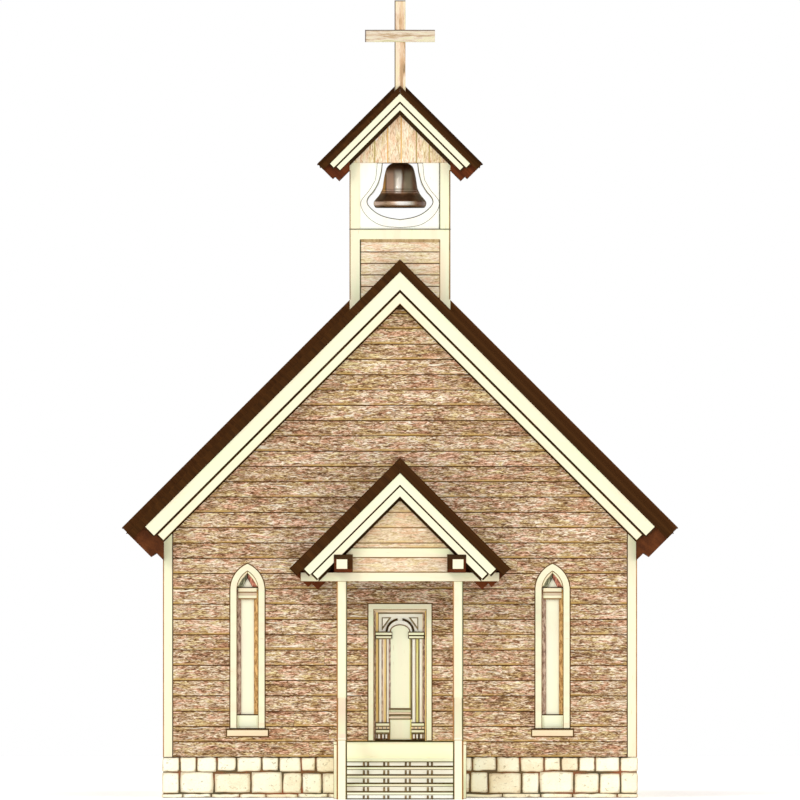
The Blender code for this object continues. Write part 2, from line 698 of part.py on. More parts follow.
def bearing(word, side):
    """A block on the plate with a half-round seat for the gudgeon."""
    seat = [
        (TOWER_MID + BEARING_BORE * cos(a), PIVOT_Z + BEARING_BORE * sin(a))
        for a in (-pi * i / 12 for i in range(13))
    ]
    outline = [(TOWER_MID + 0.07, 10.215), (TOWER_MID + 0.07, PIVOT_Z), *seat]
    outline += [(TOWER_MID - 0.07, PIVOT_Z), (TOWER_MID - 0.07, 10.215)]
    x = sorted((side * 0.67, side * 0.76))
    return prism(f"bearing_{word}", "X", outline, *x)


def bell_opening():
    """The right half of the bell-shaped opening, from the top edge down: (x, z) points."""
    return [
        (0.277, CHAMBER_TOP), (0.292, 10.02), (0.339, 9.84), (0.42, 9.70), (0.502, 9.618),
        (0.531, 9.536), (0.482, 9.456), (0.358, 9.352), (0.195, 9.291), (0.0, 9.264),
    ]


def make_bell_panels(cream):
    """Boarded sides of the bell chamber, each with a bell-shaped opening up to its top edge."""
    half = TOWER_HALF - TOWER_POST - GAP
    low = DECK[1] + GAP
    right = [(x, min(z, CHAMBER_TOP - GAP)) for x, z in bell_opening()]
    left = [(-x, z) for x, z in reversed(right[:-1])]
    opening = [*right, *left]
    top = CHAMBER_TOP - GAP
    outline = [(half, top), *opening, (-half, top), (-half, low), (half, low)]
    thick = 0.04
    front = TOWER_FRONT + SIDING_BACK
    prism("bell_panel_front", "Y", outline, front, front + thick, cream)
    back = TOWER_BACK - SIDING_BACK
    prism("bell_panel_back", "Y", outline, back - thick, back, cream)
    plate_low = 10.06 - GAP
    side_opening = [(x, min(z, plate_low)) for x, z in opening]
    side_outline = [(half, plate_low), *side_opening, (-half, plate_low), (-half, low), (half, low)]
    turned = [(TOWER_MID + u, z) for u, z in side_outline]
    for side, word in ((-1, "left"), (1, "right")):
        x = sorted((side * (TOWER_HALF - SIDING_BACK), side * (TOWER_HALF - SIDING_BACK - thick)))
        prism("bell_panel_" + word, "X", turned, *x, cream)


def make_belfry_gables(boards):
    underside = BELFRY_RIDGE - (BELFRY_DEPTH + GAP) * ROOT2
    half = TOWER_HALF - GAP
    outline = [(-half, CHAMBER_TOP), (half, CHAMBER_TOP), (half, underside - half)]
    outline += [(0.0, underside), (-half, underside - half)]
    for word, y in (
        ("front", (TOWER_FRONT + 0.01, TOWER_FRONT + 0.05)),
        ("back", (TOWER_BACK - 0.05, TOWER_BACK - 0.01)),
    ):
        prism("belfry_gable_" + word, "Y", outline, *y, boards)


def make_belfry_roof(shingle, cream):
    edge = (TOWER_FRONT - BELFRY_VERGE, TOWER_BACK + BELFRY_VERGE)
    field_y = (edge[0] + 0.22, edge[1] - 0.22)
    for side, word in ((-1, "left"), (1, "right")):
        low = slope_outline(BELFRY_SPAN, BELFRY_RIDGE, BELFRY_RAISED, BELFRY_DEPTH, side)
        slab = prism(f"belfry_roof_{word}", "Y", low, *edge, shingle)
        high = slope_outline(
            BELFRY_SPAN, BELFRY_RIDGE, 0, BELFRY_DEPTH - 0.03, side, eave=0.002, ridge_gap=0.002
        )
        box = eave_box_outline(
            BELFRY_SPAN - 0.002, BELFRY_RIDGE - 0.002, BELFRY_DEPTH - 0.02, (0.05, 0.342), 0.438,
            TOWER_HALF + GAP, side,
        )
        field = prism(f"belfry_field_{word}", "Y", high, *field_y)
        eave = prism(f"belfry_eave_{word}", "Y", box, edge[0] + 0.0603, edge[1] - 0.0603)
        combine(slab, [field, eave])
    top = BELFRY_DEPTH + GAP
    outer = chevron_outline(BELFRY_SPAN, BELFRY_RIDGE, top, 0.244, eave=0.135)
    inner = chevron_outline(BELFRY_SPAN, BELFRY_RIDGE, 0.238, 0.336, eave=0.175)
    cut_x = TOWER_HALF - 0.001
    soffit = chevron_outline(BELFRY_SPAN, BELFRY_RIDGE, 0.25, 0.33, cut_x=cut_x)
    for word, face, out in (("front", TOWER_FRONT, -1), ("back", TOWER_BACK, 1)):
        rim = face + out * BELFRY_VERGE
        layers = [
            (outer, 0.015, 0.06), (inner, 0.03, 0.058), (soffit, 0.05, BELFRY_VERGE - 0.001)
        ]
        made = []
        for i, (outline, near, far) in enumerate(layers):
            y = sorted((rim - out * near, rim - out * far))
            name = f"belfry_barge_{word}" + (f"_{i}" if i else "")
            made.append(prism(name, "Y", outline, *y, None if i else cream))
        combine(made[0], made[1:])


def make_cross(wood):
    """A plain timber cross standing on the ridge behind the front verge."""
    y = (TOWER_FRONT - BELFRY_VERGE + 0.04, TOWER_FRONT - BELFRY_VERGE + 0.18)
    peak = BELFRY_RIDGE - (BELFRY_RAISED - GAP) * ROOT2
    half = 0.088
    shaft = [(-half, peak - half), (0.0, peak), (half, peak - half), (half, CROSS_TOP), (-half, CROSS_TOP)]
    upright = prism("cross", "Y", shaft, *y, wood)
    arm_y = (y[0] + 0.005, y[1] - 0.005)
    combine(upright, [block("cross_arm", (-0.56, 0.56), arm_y, (12.10, 12.296))])


# Bell

def turned(name, profile, steps, centre, material=None):
    """A closed (radius, z) profile that starts and ends on the axis, spun round it."""
    bm = bmesh.new()
    points = [bm.verts.new((centre[0] + r, centre[1], z)) for r, z in profile]
    edges = [bm.edges.new(pair) for pair in zip(points, points[1:])]
    bmesh.ops.spin(
        bm, geom=[*points, *edges], cent=(*centre, 0), axis=(0, 0, 1), angle=2 * pi, steps=steps,
        use_merge=True,
    )
    bmesh.ops.remove_doubles(bm, verts=bm.verts, dist=0.00005)
    return add_object(name, bm, material)


def rod(name, centre, radius, x0, x1, steps=16):
    """A round bar along X."""
    outline = [
        (centre[0] + radius * cos(2 * pi * i / steps), centre[1] + radius * sin(2 * pi * i / steps))
        for i in range(steps)
    ]
    return prism(name, "X", outline, x0, x1)


def make_bell(bronze, iron, wood):
    centre = (0.0, TOWER_MID)
    wall_outer = [
        (0.0, BELL_TOP), (0.10, BELL_TOP - 0.003), (0.168, BELL_TOP - 0.028), (0.219, 10.094),
        (0.248, 9.976), (0.266, 9.864), (0.28, 9.768), (0.306, 9.70), (0.35, 9.635),
        (0.408, 9.565), (0.424, 9.53), (0.42, 9.49), (0.395, BELL_MOUTH),
    ]
    wall_inner = [
        (0.365, BELL_MOUTH + 0.006), (0.36, 9.52), (0.315, 9.61), (0.272, 9.70), (0.243, 9.80),
        (0.222, 9.92), (0.205, 10.03), (0.17, 10.105), (0.09, 10.13), (0.0, 10.133),
    ]
    bell = turned("bell", [*wall_outer, *wall_inner], 32, centre, bronze)
    crown = block("crown", (-0.06, 0.06), (TOWER_MID - 0.05, TOWER_MID + 0.05), (10.16, 10.1897))
    lugs = []
    for side in (-1, 1):
        lug_x = sorted((side * 0.0165, side * 0.032))
        lug_y = (TOWER_MID - 0.02, TOWER_MID + 0.02)
        lugs.append(block(f"lug_{side}", lug_x, lug_y, (CLAPPER_Z - 0.02, 10.14)))
    pin = rod("clapper_pin", (TOWER_MID, CLAPPER_Z), 0.0085, -0.024, 0.024, 10)
    combine(bell, [crown, *lugs, pin])

    stock_y = (TOWER_MID - 0.07, TOWER_MID + 0.07)
    stock = block("bell_headstock", (-0.56, 0.56), stock_y, (10.19, 10.35), wood)
    pins = [
        rod("gudgeon_left", (TOWER_MID, PIVOT_Z), GUDGEON, -0.74, -0.5, 24),
        rod("gudgeon_right", (TOWER_MID, PIVOT_Z), GUDGEON, 0.5, 0.74, 24),
    ]
    combine(stock, pins)

    ball = [
        (0.0, CLAPPER_Z - 0.012), (0.013, CLAPPER_Z - 0.014), (0.017, 9.60), (0.05, 9.575),
        (0.062, 9.53), (0.05, 9.485), (0.022, 9.465), (0.018, 9.42), (0.0, 9.418),
    ]
    clapper = turned("clapper", ball, 16, centre, iron)
    hub = rod("clapper_hub", (TOWER_MID, CLAPPER_Z), 0.024, -0.016, 0.016, 14)
    bore = rod("clapper_bore", (TOWER_MID, CLAPPER_Z), 0.0095, -0.05, 0.05, 10)
    combine(clapper, [hub])
    combine(clapper, [bore], "DIFFERENCE")


def main():
    clear_scene()
    cream = paint("cream_paint", (0.97, 0.93, 0.67), 0.5)
    siding = paint("brown_siding", (0.51, 0.34, 0.19), 0.8)
    pale = paint("pale_siding", (0.76, 0.62, 0.40), 0.8)
    shingle = paint("dark_roofing", (0.070, 0.028, 0.009), 0.8)
    red_brown = paint("red_brown_eave", (0.115, 0.036, 0.010), 0.6)
    stone = paint("pale_stone", (0.80, 0.71, 0.49), 0.9)
    glass = paint("cream_glass", (0.97, 0.93, 0.67), 0.15)
    bronze = paint("dark_bronze", (0.16, 0.08, 0.04), 0.35, 0.9)
    iron = paint("forged_iron", (0.05, 0.045, 0.04), 0.5, 0.9)
    oak = paint("weathered_oak", (0.45, 0.33, 0.20), 0.8)

    window_ys = [FRONT + NAVE_LENGTH * share for share in (0.2, 0.5, 0.8)]
    make_footing(stone)
    make_floor(oak)
    make_front_walls(siding)
    make_side_and_back_walls(siding, window_ys)
    make_corner_trim(cream)
    make_main_roof(shingle, red_brown)
    make_main_barge("front_barge_boards", FRONT, -1, cream)
    make_main_barge("back_barge_boards", BACK, 1, cream)
    make_windows(cream, glass, window_ys)
    make_door(cream)
    make_platform(cream)
    make_stair(cream)
    make_rails(cream)
    make_porch_frame(cream, pale)
    make_porch_roof(shingle, cream)
    make_tower_walls(pale)
    make_tower_frame(cream)
    make_bell_panels(cream)
    make_belfry_gables(pale)
    make_belfry_roof(shingle, cream)
    make_cross(oak)
    make_bell(bronze, iron, oak)


main()
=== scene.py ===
# %% [markdown]
# # A small timber church
#
# This lesson dresses a plain solid model of a country church: brown clapboards, cream trim, dark
# shingled roofs, a rubble footing, lancet windows, an ornamented door, and a bell in its tower.
# The solid model is the frame. Nothing in it is moved; finer pieces are fitted over it, or take
# the place of a plain one, and each finish is worked out from numbers by the shader.

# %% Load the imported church
from math import atan2, cos, pi, radians, sin, sqrt
from random import Random

import bmesh
import bpy
from mathutils import Matrix, Vector, noise


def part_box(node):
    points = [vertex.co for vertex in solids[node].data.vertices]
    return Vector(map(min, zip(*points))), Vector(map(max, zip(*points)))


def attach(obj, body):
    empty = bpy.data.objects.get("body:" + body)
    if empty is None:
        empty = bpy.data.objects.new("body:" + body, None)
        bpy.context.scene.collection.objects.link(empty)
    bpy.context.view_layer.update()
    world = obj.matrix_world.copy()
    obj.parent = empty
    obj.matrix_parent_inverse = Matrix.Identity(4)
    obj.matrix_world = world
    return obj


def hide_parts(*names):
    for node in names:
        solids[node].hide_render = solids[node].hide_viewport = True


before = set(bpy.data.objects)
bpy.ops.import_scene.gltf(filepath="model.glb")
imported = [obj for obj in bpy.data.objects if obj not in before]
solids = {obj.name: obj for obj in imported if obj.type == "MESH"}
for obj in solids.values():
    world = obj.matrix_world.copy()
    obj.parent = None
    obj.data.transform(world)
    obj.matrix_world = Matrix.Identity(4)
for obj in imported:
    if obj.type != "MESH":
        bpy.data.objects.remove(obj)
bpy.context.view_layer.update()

# %% [markdown]
# ## Camera, light and floor
#
# A drawn front elevation has no perspective. A very long lens far away gives the same picture, and
# still works as an ordinary camera when the model is turned. The light is soft and comes mostly
# from a white surround, as in a studio tent, so that paint shows in its own colour; one wide sun
# from the front adds the faint shading that tells a groove from a line.

# %% Camera
PICTURE_WIDE, PICTURE_Y, PICTURE_MID_Z = 12.8, -5.0, 6.368
FRONT_Y = -4.345
LENS, SENSOR = 1600.0, 36.0

camera_data = bpy.data.cameras.new("elevation_camera")
camera_data.lens = LENS
camera_data.sensor_width = SENSOR
away = PICTURE_WIDE * LENS / SENSOR
camera_data.clip_end = 3 * away
camera = bpy.data.objects.new("elevation_camera", camera_data)
camera.location = (0.0, PICTURE_Y - away, PICTURE_MID_Z)
camera.rotation_euler = (pi / 2, 0, 0)
bpy.context.scene.collection.objects.link(camera)
bpy.context.scene.camera = camera
print("the camera stands", round(away, 1), "m from the porch")

# %% Light
scene = bpy.context.scene
scene.view_settings.view_transform = "Standard"
scene.view_settings.look = "None"

world = bpy.data.worlds.new("white_tent")
world.use_nodes = True
world.node_tree.nodes["Background"].inputs["Color"].default_value = (1.0, 1.0, 1.0, 1.0)
world.node_tree.nodes["Background"].inputs["Strength"].default_value = 1.0
scene.world = world


def add_sun(name, strength, height, turn, softness):
    """A sun at a height above the horizon, turned from straight in front, all in degrees."""
    data = bpy.data.lights.new(name, "SUN")
    data.energy = strength
    data.angle = radians(softness)
    sun = bpy.data.objects.new(name, data)
    sun.rotation_euler = (radians(90 - height), 0, radians(turn))
    scene.collection.objects.link(sun)


add_sun("front_key", 0.55, 24, -24, 12)
add_sun("front_fill", 0.2, 12, 38, 50)

# %% [markdown]
# ## A small language for finishes
#
# A finish is a network of shader nodes. Written out one by one, such a network hides its idea. Here
# one class stands for a value in the shader, and adding or multiplying two of them adds the Math
# node. Every other node comes from one method, which takes the node's settings and its inputs.

# %% Shader values and finishes
class Value:
    """A socket in a shader. Arithmetic on it adds Math nodes."""

    def __init__(self, finish, socket):
        self.finish = finish
        self.socket = socket

    def maths(self, operation, first, second):
        return self.finish.node("ShaderNodeMath", {"operation": operation}, {0: first, 1: second})

    def __add__(self, other):
        return self.maths("ADD", self, other)

    def __sub__(self, other):
        return self.maths("SUBTRACT", self, other)

    def __rsub__(self, other):
        return self.maths("SUBTRACT", other, self)

    def __mul__(self, other):
        return self.maths("MULTIPLY", self, other)

    def __gt__(self, other):
        return self.maths("GREATER_THAN", self, other)

    __radd__ = __add__
    __rmul__ = __mul__


def tint(red, green, blue):
    """A shader colour from the 0-255 numbers of a paint chart."""
    def linear(c):
        c /= 255
        return c / 12.92 if c <= 0.04045 else ((c + 0.055) / 1.055) ** 2.4
    return (linear(red), linear(green), linear(blue), 1.0)


class Finish:
    """A material that is put together from expressions."""

    def __init__(self, name):
        self.material = bpy.data.materials.new(name)
        self.material.use_nodes = True
        self.tree = self.material.node_tree
        self.skin = self.tree.nodes["Principled BSDF"]

    def node(self, kind, settings=None, inputs=None, output=0):
        made = self.tree.nodes.new(kind)
        for key, value in (settings or {}).items():
            if key == "stops":
                self.set_stops(made.color_ramp, value)
            else:
                setattr(made, key, value)
        for key, value in (inputs or {}).items():
            if isinstance(value, Value):
                self.tree.links.new(value.socket, made.inputs[key])
            else:
                made.inputs[key].default_value = value
        return Value(self, made.outputs[output])

    def set_stops(self, ramp, stops):
        while len(ramp.elements) < len(stops):
            ramp.elements.new(0.5)
        for element, (place, colour) in zip(ramp.elements, stops):
            element.position = place
            element.color = colour

    def grain(self, run=None):
        """The coordinates that a board carries: along its grain, across it, and a third. A solid
        that carries none gets them from its place in the building, with run as the long axis."""
        if run is None:
            return self.node("ShaderNodeAttribute", {"attribute_name": "grain"}, output="Vector")
        spot = [self.part(self.place(), axis) for axis in range(3)]
        along = spot.pop(run)
        inputs = {0: along, 1: spot[0] + spot[1], 2: spot[0] - spot[1]}
        return self.node("ShaderNodeCombineXYZ", inputs=inputs)

    def tone(self):
        """The number from 0 to 1 that each board draws for itself."""
        return self.node("ShaderNodeAttribute", {"attribute_name": "tone"}, output="Fac")

    def place(self):
        return self.node("ShaderNodeTexCoord", output="Object")

    def stretched(self, vector, scale):
        return self.node("ShaderNodeVectorMath", {"operation": "MULTIPLY"}, {0: vector, 1: scale})

    def part(self, vector, axis):
        return self.node("ShaderNodeSeparateXYZ", inputs={0: vector}, output=axis)

    def cloud(self, vector, scale, detail=2.0, swirl=0.0):
        """Soft noise from 0 to 1, with its features 1 / scale metres long on each axis."""
        inputs = {"Vector": self.stretched(vector, scale), "Scale": 1.0, "Detail": detail}
        inputs["Distortion"] = swirl
        return self.node("ShaderNodeTexNoise", inputs=inputs)

    def step(self, value, low, high):
        """0 below low, 1 above high, and a smooth rise between."""
        settings = {"interpolation_type": "SMOOTHSTEP"}
        return self.node("ShaderNodeMapRange", settings, {0: value, 1: low, 2: high})

    def ramp(self, value, *stops):
        return self.node("ShaderNodeValToRGB", {"stops": stops}, {0: value})

    def mix(self, share, first, second, way="MIX"):
        settings = {"data_type": "RGBA", "blend_type": way}
        return self.node("ShaderNodeMix", settings, {0: share, 6: first, 7: second}, output=2)

    def bump(self, height, strength, depth):
        inputs = {"Strength": strength, "Distance": depth, "Height": height}
        return self.node("ShaderNodeBump", inputs=inputs)

    def apply(self, **inputs):
        """Sets or links the skin's own sockets, given as Base_Color for Base Color."""
        for key, value in inputs.items():
            socket = self.skin.inputs[key.replace("_", " ")]
            if isinstance(value, Value):
                self.tree.links.new(value.socket, socket)
            else:
                socket.default_value = value
        return self.material


# %% [markdown]
# ## Floor
#
# The floor only has to be pale and plain. A low noise in its roughness keeps it from looking like
# a sheet of pure light.

# %% Floor and backdrop
def make_floor_finish():
    f = Finish("studio_floor")
    soft = f.cloud(f.place(), (0.4, 0.4, 0.4), 3.0)
    colour = f.mix(soft, tint(252, 252, 252), tint(255, 255, 255))
    return f.apply(
        Base_Color=colour, Roughness=0.8 + soft * 0.15, Specular_IOR_Level=0.1,
        Emission_Color=(1.0, 1.0, 1.0, 1.0), Emission_Strength=0.2,
    )


def add_floor():
    bm = bmesh.new()
    bmesh.ops.create_grid(bm, x_segments=2, y_segments=2, size=60.0)
    mesh = bpy.data.meshes.new("studio_floor")
    bm.to_mesh(mesh)
    bm.free()
    floor = bpy.data.objects.new("studio_floor", mesh)
    floor.location.z = -0.002
    mesh.materials.append(make_floor_finish())
    scene.collection.objects.link(floor)


add_floor()

# %% [markdown]
# ## Finishes
#
# The clapboards are rough boards whose brown stain has worn in short strokes along the grain, down
# to pale wood in places. Three layers of stretched noise give the strokes, a wide one shifts the
# hue from pink to olive, and the lower edge of each board, where rain stays longest, is tinted. The
# board's own number shifts its whole tone, because no two boards weather alike. Low down, the
# boards beside the porch carry painted shade, which makes them a shade darker than those under it.

# %% Weathered boards
# Bounds across and up of the painted shade on the low boards beside the porch.
PAINTED_SHADE_XS, PAINTED_SHADE_ZS = (1.7, 2.3), (3.3, 4.7)


def weathered_boards(name, *palette, contrast=1.0):
    """The palette: pores, body, pale and bare wood, two tints to multiply by, and the low edge."""
    deep, body, pale, bare, pink, olive, edge = [tint(*colour) for colour in palette]
    f = Finish(name)
    grain = f.grain()
    tone = f.tone()
    strokes = f.cloud(grain, (9.0, 46.0, 0.0), 3.0, 1.4)
    fine = f.cloud(grain, (30.0, 150.0, 0.0), 3.0, 0.6)
    broad = f.cloud(grain, (1.3, 7.0, 0.0), 2.0, 0.5)
    patches = f.cloud(grain, (1.9, 21.0, 0.0), 1.0, 0.8)
    mixed = strokes * 0.56 + fine * 0.3 + broad * 0.16
    mixed = (mixed - 0.51) * contrast + 0.5 + (tone - 0.5) * 0.05
    hue = f.cloud(grain, (3.4, 14.0, 0.0), 3.0, 0.9)
    colour = f.ramp(mixed, (0.36, deep), (0.45, body), (0.55, pale), (0.66, bare))
    colour = f.mix(f.step(hue, 0.5, 0.62) * 0.75, colour, pink, "MULTIPLY")
    colour = f.mix(f.step(1 - hue, 0.5, 0.62) * 0.7, colour, olive, "MULTIPLY")
    colour = f.mix(f.step(patches, 0.7, 0.78) * 0.85, colour, bare)
    height = f.part(grain, 2)
    drip = f.cloud(grain, (1.1, 0.0, 0.0), 2.0)
    low_edge = (1 - f.step(height, 0.012, 0.04)) * f.step(drip, 0.42, 0.6)
    colour = f.mix(low_edge * 0.8, colour, edge)
    x, z = f.part(f.place(), 0), f.part(f.place(), 2)
    # Painted shade: low down, the boards beside the porch are darkened.
    painted_shade = f.step(x, *PAINTED_SHADE_XS) + f.step(x * -1, *PAINTED_SHADE_XS)
    colour = f.mix(painted_shade * (1 - f.step(z, *PAINTED_SHADE_ZS)), colour, tint(241, 240, 237), "MULTIPLY")
    relief = f.bump(strokes * 0.6 + fine * 0.4, 0.45, 0.006)
    return f.apply(Base_Color=colour, Roughness=0.7 + fine * 0.25, Normal=relief)


brown_boards = weathered_boards(
    "weathered_brown_boards", (98, 64, 34), (166, 130, 92), (214, 184, 150), (255, 246, 226),
    (255, 216, 202), (240, 230, 170), (200, 160, 84), contrast=1.8,
)
tower_boards = weathered_boards(
    "weathered_tower_boards", (184, 150, 112), (222, 198, 164), (241, 226, 198), (255, 248, 232),
    (255, 230, 216), (247, 244, 214), (228, 206, 150), contrast=1.2,
)
porch_boards = weathered_boards(
    "weathered_porch_boards", (168, 136, 100), (211, 186, 152), (232, 213, 184), (254, 243, 222),
    (255, 228, 212), (245, 239, 204), (222, 190, 132), contrast=1.1,
)

# %% [markdown]
# Cream oil paint covers all the trim. It has yellowed unevenly, a little green here and a little
# pink there, the grain still reads through it, and in a few spots it has gone thin. The same recipe
# is used on the solids that stay in view; they carry no grain of their own, so they are told which
# way their boards run.

# %% Cream paint
SIDEWAYS, LENGTHWISE, UPRIGHT = 0, 1, 2


def cream_paint(name, base=(242, 237, 203), warm=(244, 230, 196), cool=(237, 241, 201), run=None):
    """Cream paint of a base colour that turns warmer and cooler in wide patches."""
    f = Finish(name)
    grain = f.grain(run)
    wide = f.cloud(grain, (0.9, 5.0, 2.0), 2.0)
    hair = f.cloud(grain, (6.0, 240.0, 60.0), 4.0, 0.3)
    thin = f.cloud(grain, (5.0, 40.0, 20.0), 5.0)
    colour = f.ramp(wide, (0.34, tint(*warm)), (0.5, tint(*base)), (0.66, tint(*cool)))
    colour = f.mix(hair * 0.1, colour, tint(226, 205, 160))
    colour = f.mix(f.step(thin, 0.66, 0.74) * 0.55, colour, tint(222, 196, 150))
    rough = 0.42 + hair * 0.16 + f.step(thin, 0.62, 0.74) * 0.25
    return f.apply(Base_Color=colour, Roughness=rough, Normal=f.bump(hair, 0.25, 0.002))


cream = cream_paint("cream_paint_on_boards")
white_cream = cream_paint("pale_cream_paint", (245, 243, 231), (246, 239, 226), (242, 245, 233))

# %% [markdown]
# Dark brown stain fills the grooves, beads and shadow lines that outline the trim, and the same
# wood, redder, closes the eaves. The roofs are sawn shingles, stained nearly black-brown.

# %% Dark stains and shingles
def shades(three, stops):
    """Three paint colours as stops of a ramp."""
    return [(stop, tint(*shade)) for stop, shade in zip(stops, three)]


def stained(name, *three, rough=0.55, run=None):
    """Stained wood in three shades, from the pores to the ribs between them."""
    f = Finish(name)
    grain = f.grain(run)
    hair = f.cloud(grain, (5.0, 130.0, 60.0), 4.0, 0.4)
    wide = f.cloud(grain, (1.2, 9.0, 4.0), 2.0)
    colour = f.ramp(hair * 0.55 + wide * 0.45, *shades(three, (0.36, 0.5, 0.64)))
    return f.apply(
        Base_Color=colour, Roughness=rough + hair * 0.2, Specular_IOR_Level=0.06,
        Normal=f.bump(hair, 0.4, 0.003),
    )


def mottled(name, *three):
    """Stain that has worn in short blotches, as on the sashes and the bars of the windows."""
    f = Finish(name)
    grain = f.grain()
    blot = f.cloud(grain, (13.0, 34.0, 9.0), 3.0, 0.7)
    hair = f.cloud(grain, (5.0, 130.0, 60.0), 4.0, 0.4)
    colour = f.ramp(blot * 0.75 + hair * 0.25, *shades(three, (0.38, 0.5, 0.61)))
    return f.apply(Base_Color=colour, Roughness=0.5 + hair * 0.2, Normal=f.bump(hair, 0.4, 0.003))


bead_brown = stained("dark_brown_bead", (34, 22, 8), (52, 34, 14), (74, 50, 24))
soft_brown = stained("soft_brown_line", (112, 84, 48), (142, 110, 68), (170, 136, 90))
red_brown = stained("red_brown_stain", (66, 30, 12), (86, 40, 16), (110, 54, 24))
orange_bead = stained("orange_brown_bead", (140, 84, 36), (176, 118, 62), (200, 148, 90))
olive_bead = stained("dark_olive_bead", (56, 52, 26), (82, 76, 42), (110, 102, 64))
verge_brown = stained("verge_brown_stain", (48, 25, 3), (60, 33, 6), (74, 43, 12))
field_brown = stained("field_end_stain", (64, 35, 10), (78, 45, 16), (92, 54, 22))


def shingle_stain():
    f = Finish("stained_shingles")
    grain = f.grain()
    hair = f.cloud(grain, (10.0, 210.0, 30.0), 4.0, 0.5)
    wide = f.cloud(grain, (3.0, 16.0, 6.0), 2.0)
    mixed = hair * 0.45 + wide * 0.25 + f.tone() * 0.3
    colour = f.ramp(
        mixed, (0.25, tint(50, 28, 10)), (0.45, tint(64, 37, 14)), (0.6, tint(78, 47, 20)),
        (0.75, tint(98, 64, 34)),
    )
    return f.apply(
        Base_Color=colour, Roughness=0.72 + hair * 0.2, Specular_IOR_Level=0.12,
        Normal=f.bump(hair, 0.6, 0.004),
    )


shingles = shingle_stain()
print(len(bpy.data.materials), "finishes so far")

# %% [markdown]
# ## Boards and blocks
#
# Nearly everything on a timber building is a flat outline with a thickness: a clapboard, a casing,
# a rafter end. So one tool serves for almost all of it. It extrudes an outline out of a face of the
# building, eases the front edge with a small chamfer, and writes on every point how far along and
# across the grain it lies. Boards that make up one part of the building are gathered into one mesh.

# %% Where a face stands
def facing(turn, x=0.0, y=0.0):
    """A face turned by so many degrees from the front: u runs right, v up and w out of it."""
    upright = Matrix(((1, 0, 0, 0), (0, 0, -1, 0), (0, 1, 0, 0), (0, 0, 0, 1)))
    return Matrix.Translation((x, y, 0)) @ Matrix.Rotation(radians(turn), 4, "Z") @ upright


def on_axes(u, v, w, origin):
    """A frame from its three directions and its origin."""
    made = Matrix.Identity(4)
    for column, axis in enumerate((u, v, w, origin)):
        for row in range(3):
            made[row][column] = axis[row]
    return made


def rectangle(u0, u1, v0, v1):
    return [(u0, v0), (u1, v0), (u1, v1), (u0, v1)]


def eased_rectangle(u0, u1, v0, v1, c):
    """A rectangle whose corners are cut off by c, for a bar with its arrises taken off."""
    return [
        (u0 + c, v0), (u1 - c, v0), (u1, v0 + c), (u1, v1 - c),
        (u1 - c, v1), (u0 + c, v1), (u0, v1 - c), (u0, v0 + c),
    ]


def flipped(outline):
    return [(-u, v) for u, v in outline]


def mirrored(side, a, b):
    """Two distances from the middle as places on one side of it, the lower one first."""
    return sorted((side * a, side * b))


def area_of(outline):
    return sum(a[0] * b[1] - b[0] * a[1] for a, b in zip(outline, outline[1:] + outline[:1])) / 2


def inset(outline, amount):
    """The outline, which runs anticlockwise, moved inwards with mitred corners."""
    moved = []
    for before, here, after in zip(outline[-1:] + outline[:-1], outline, outline[1:] + outline[:1]):
        first = (Vector(here) - Vector(before)).normalized()
        second = (Vector(after) - Vector(here)).normalized()
        lean = Vector((-first.y - second.y, first.x + second.x))
        moved.append(tuple(Vector(here) + lean * (amount / max(0.3, 1 + first.dot(second)))))
    return moved


# %% A piece in the making
FRONT_FACE = facing(0)


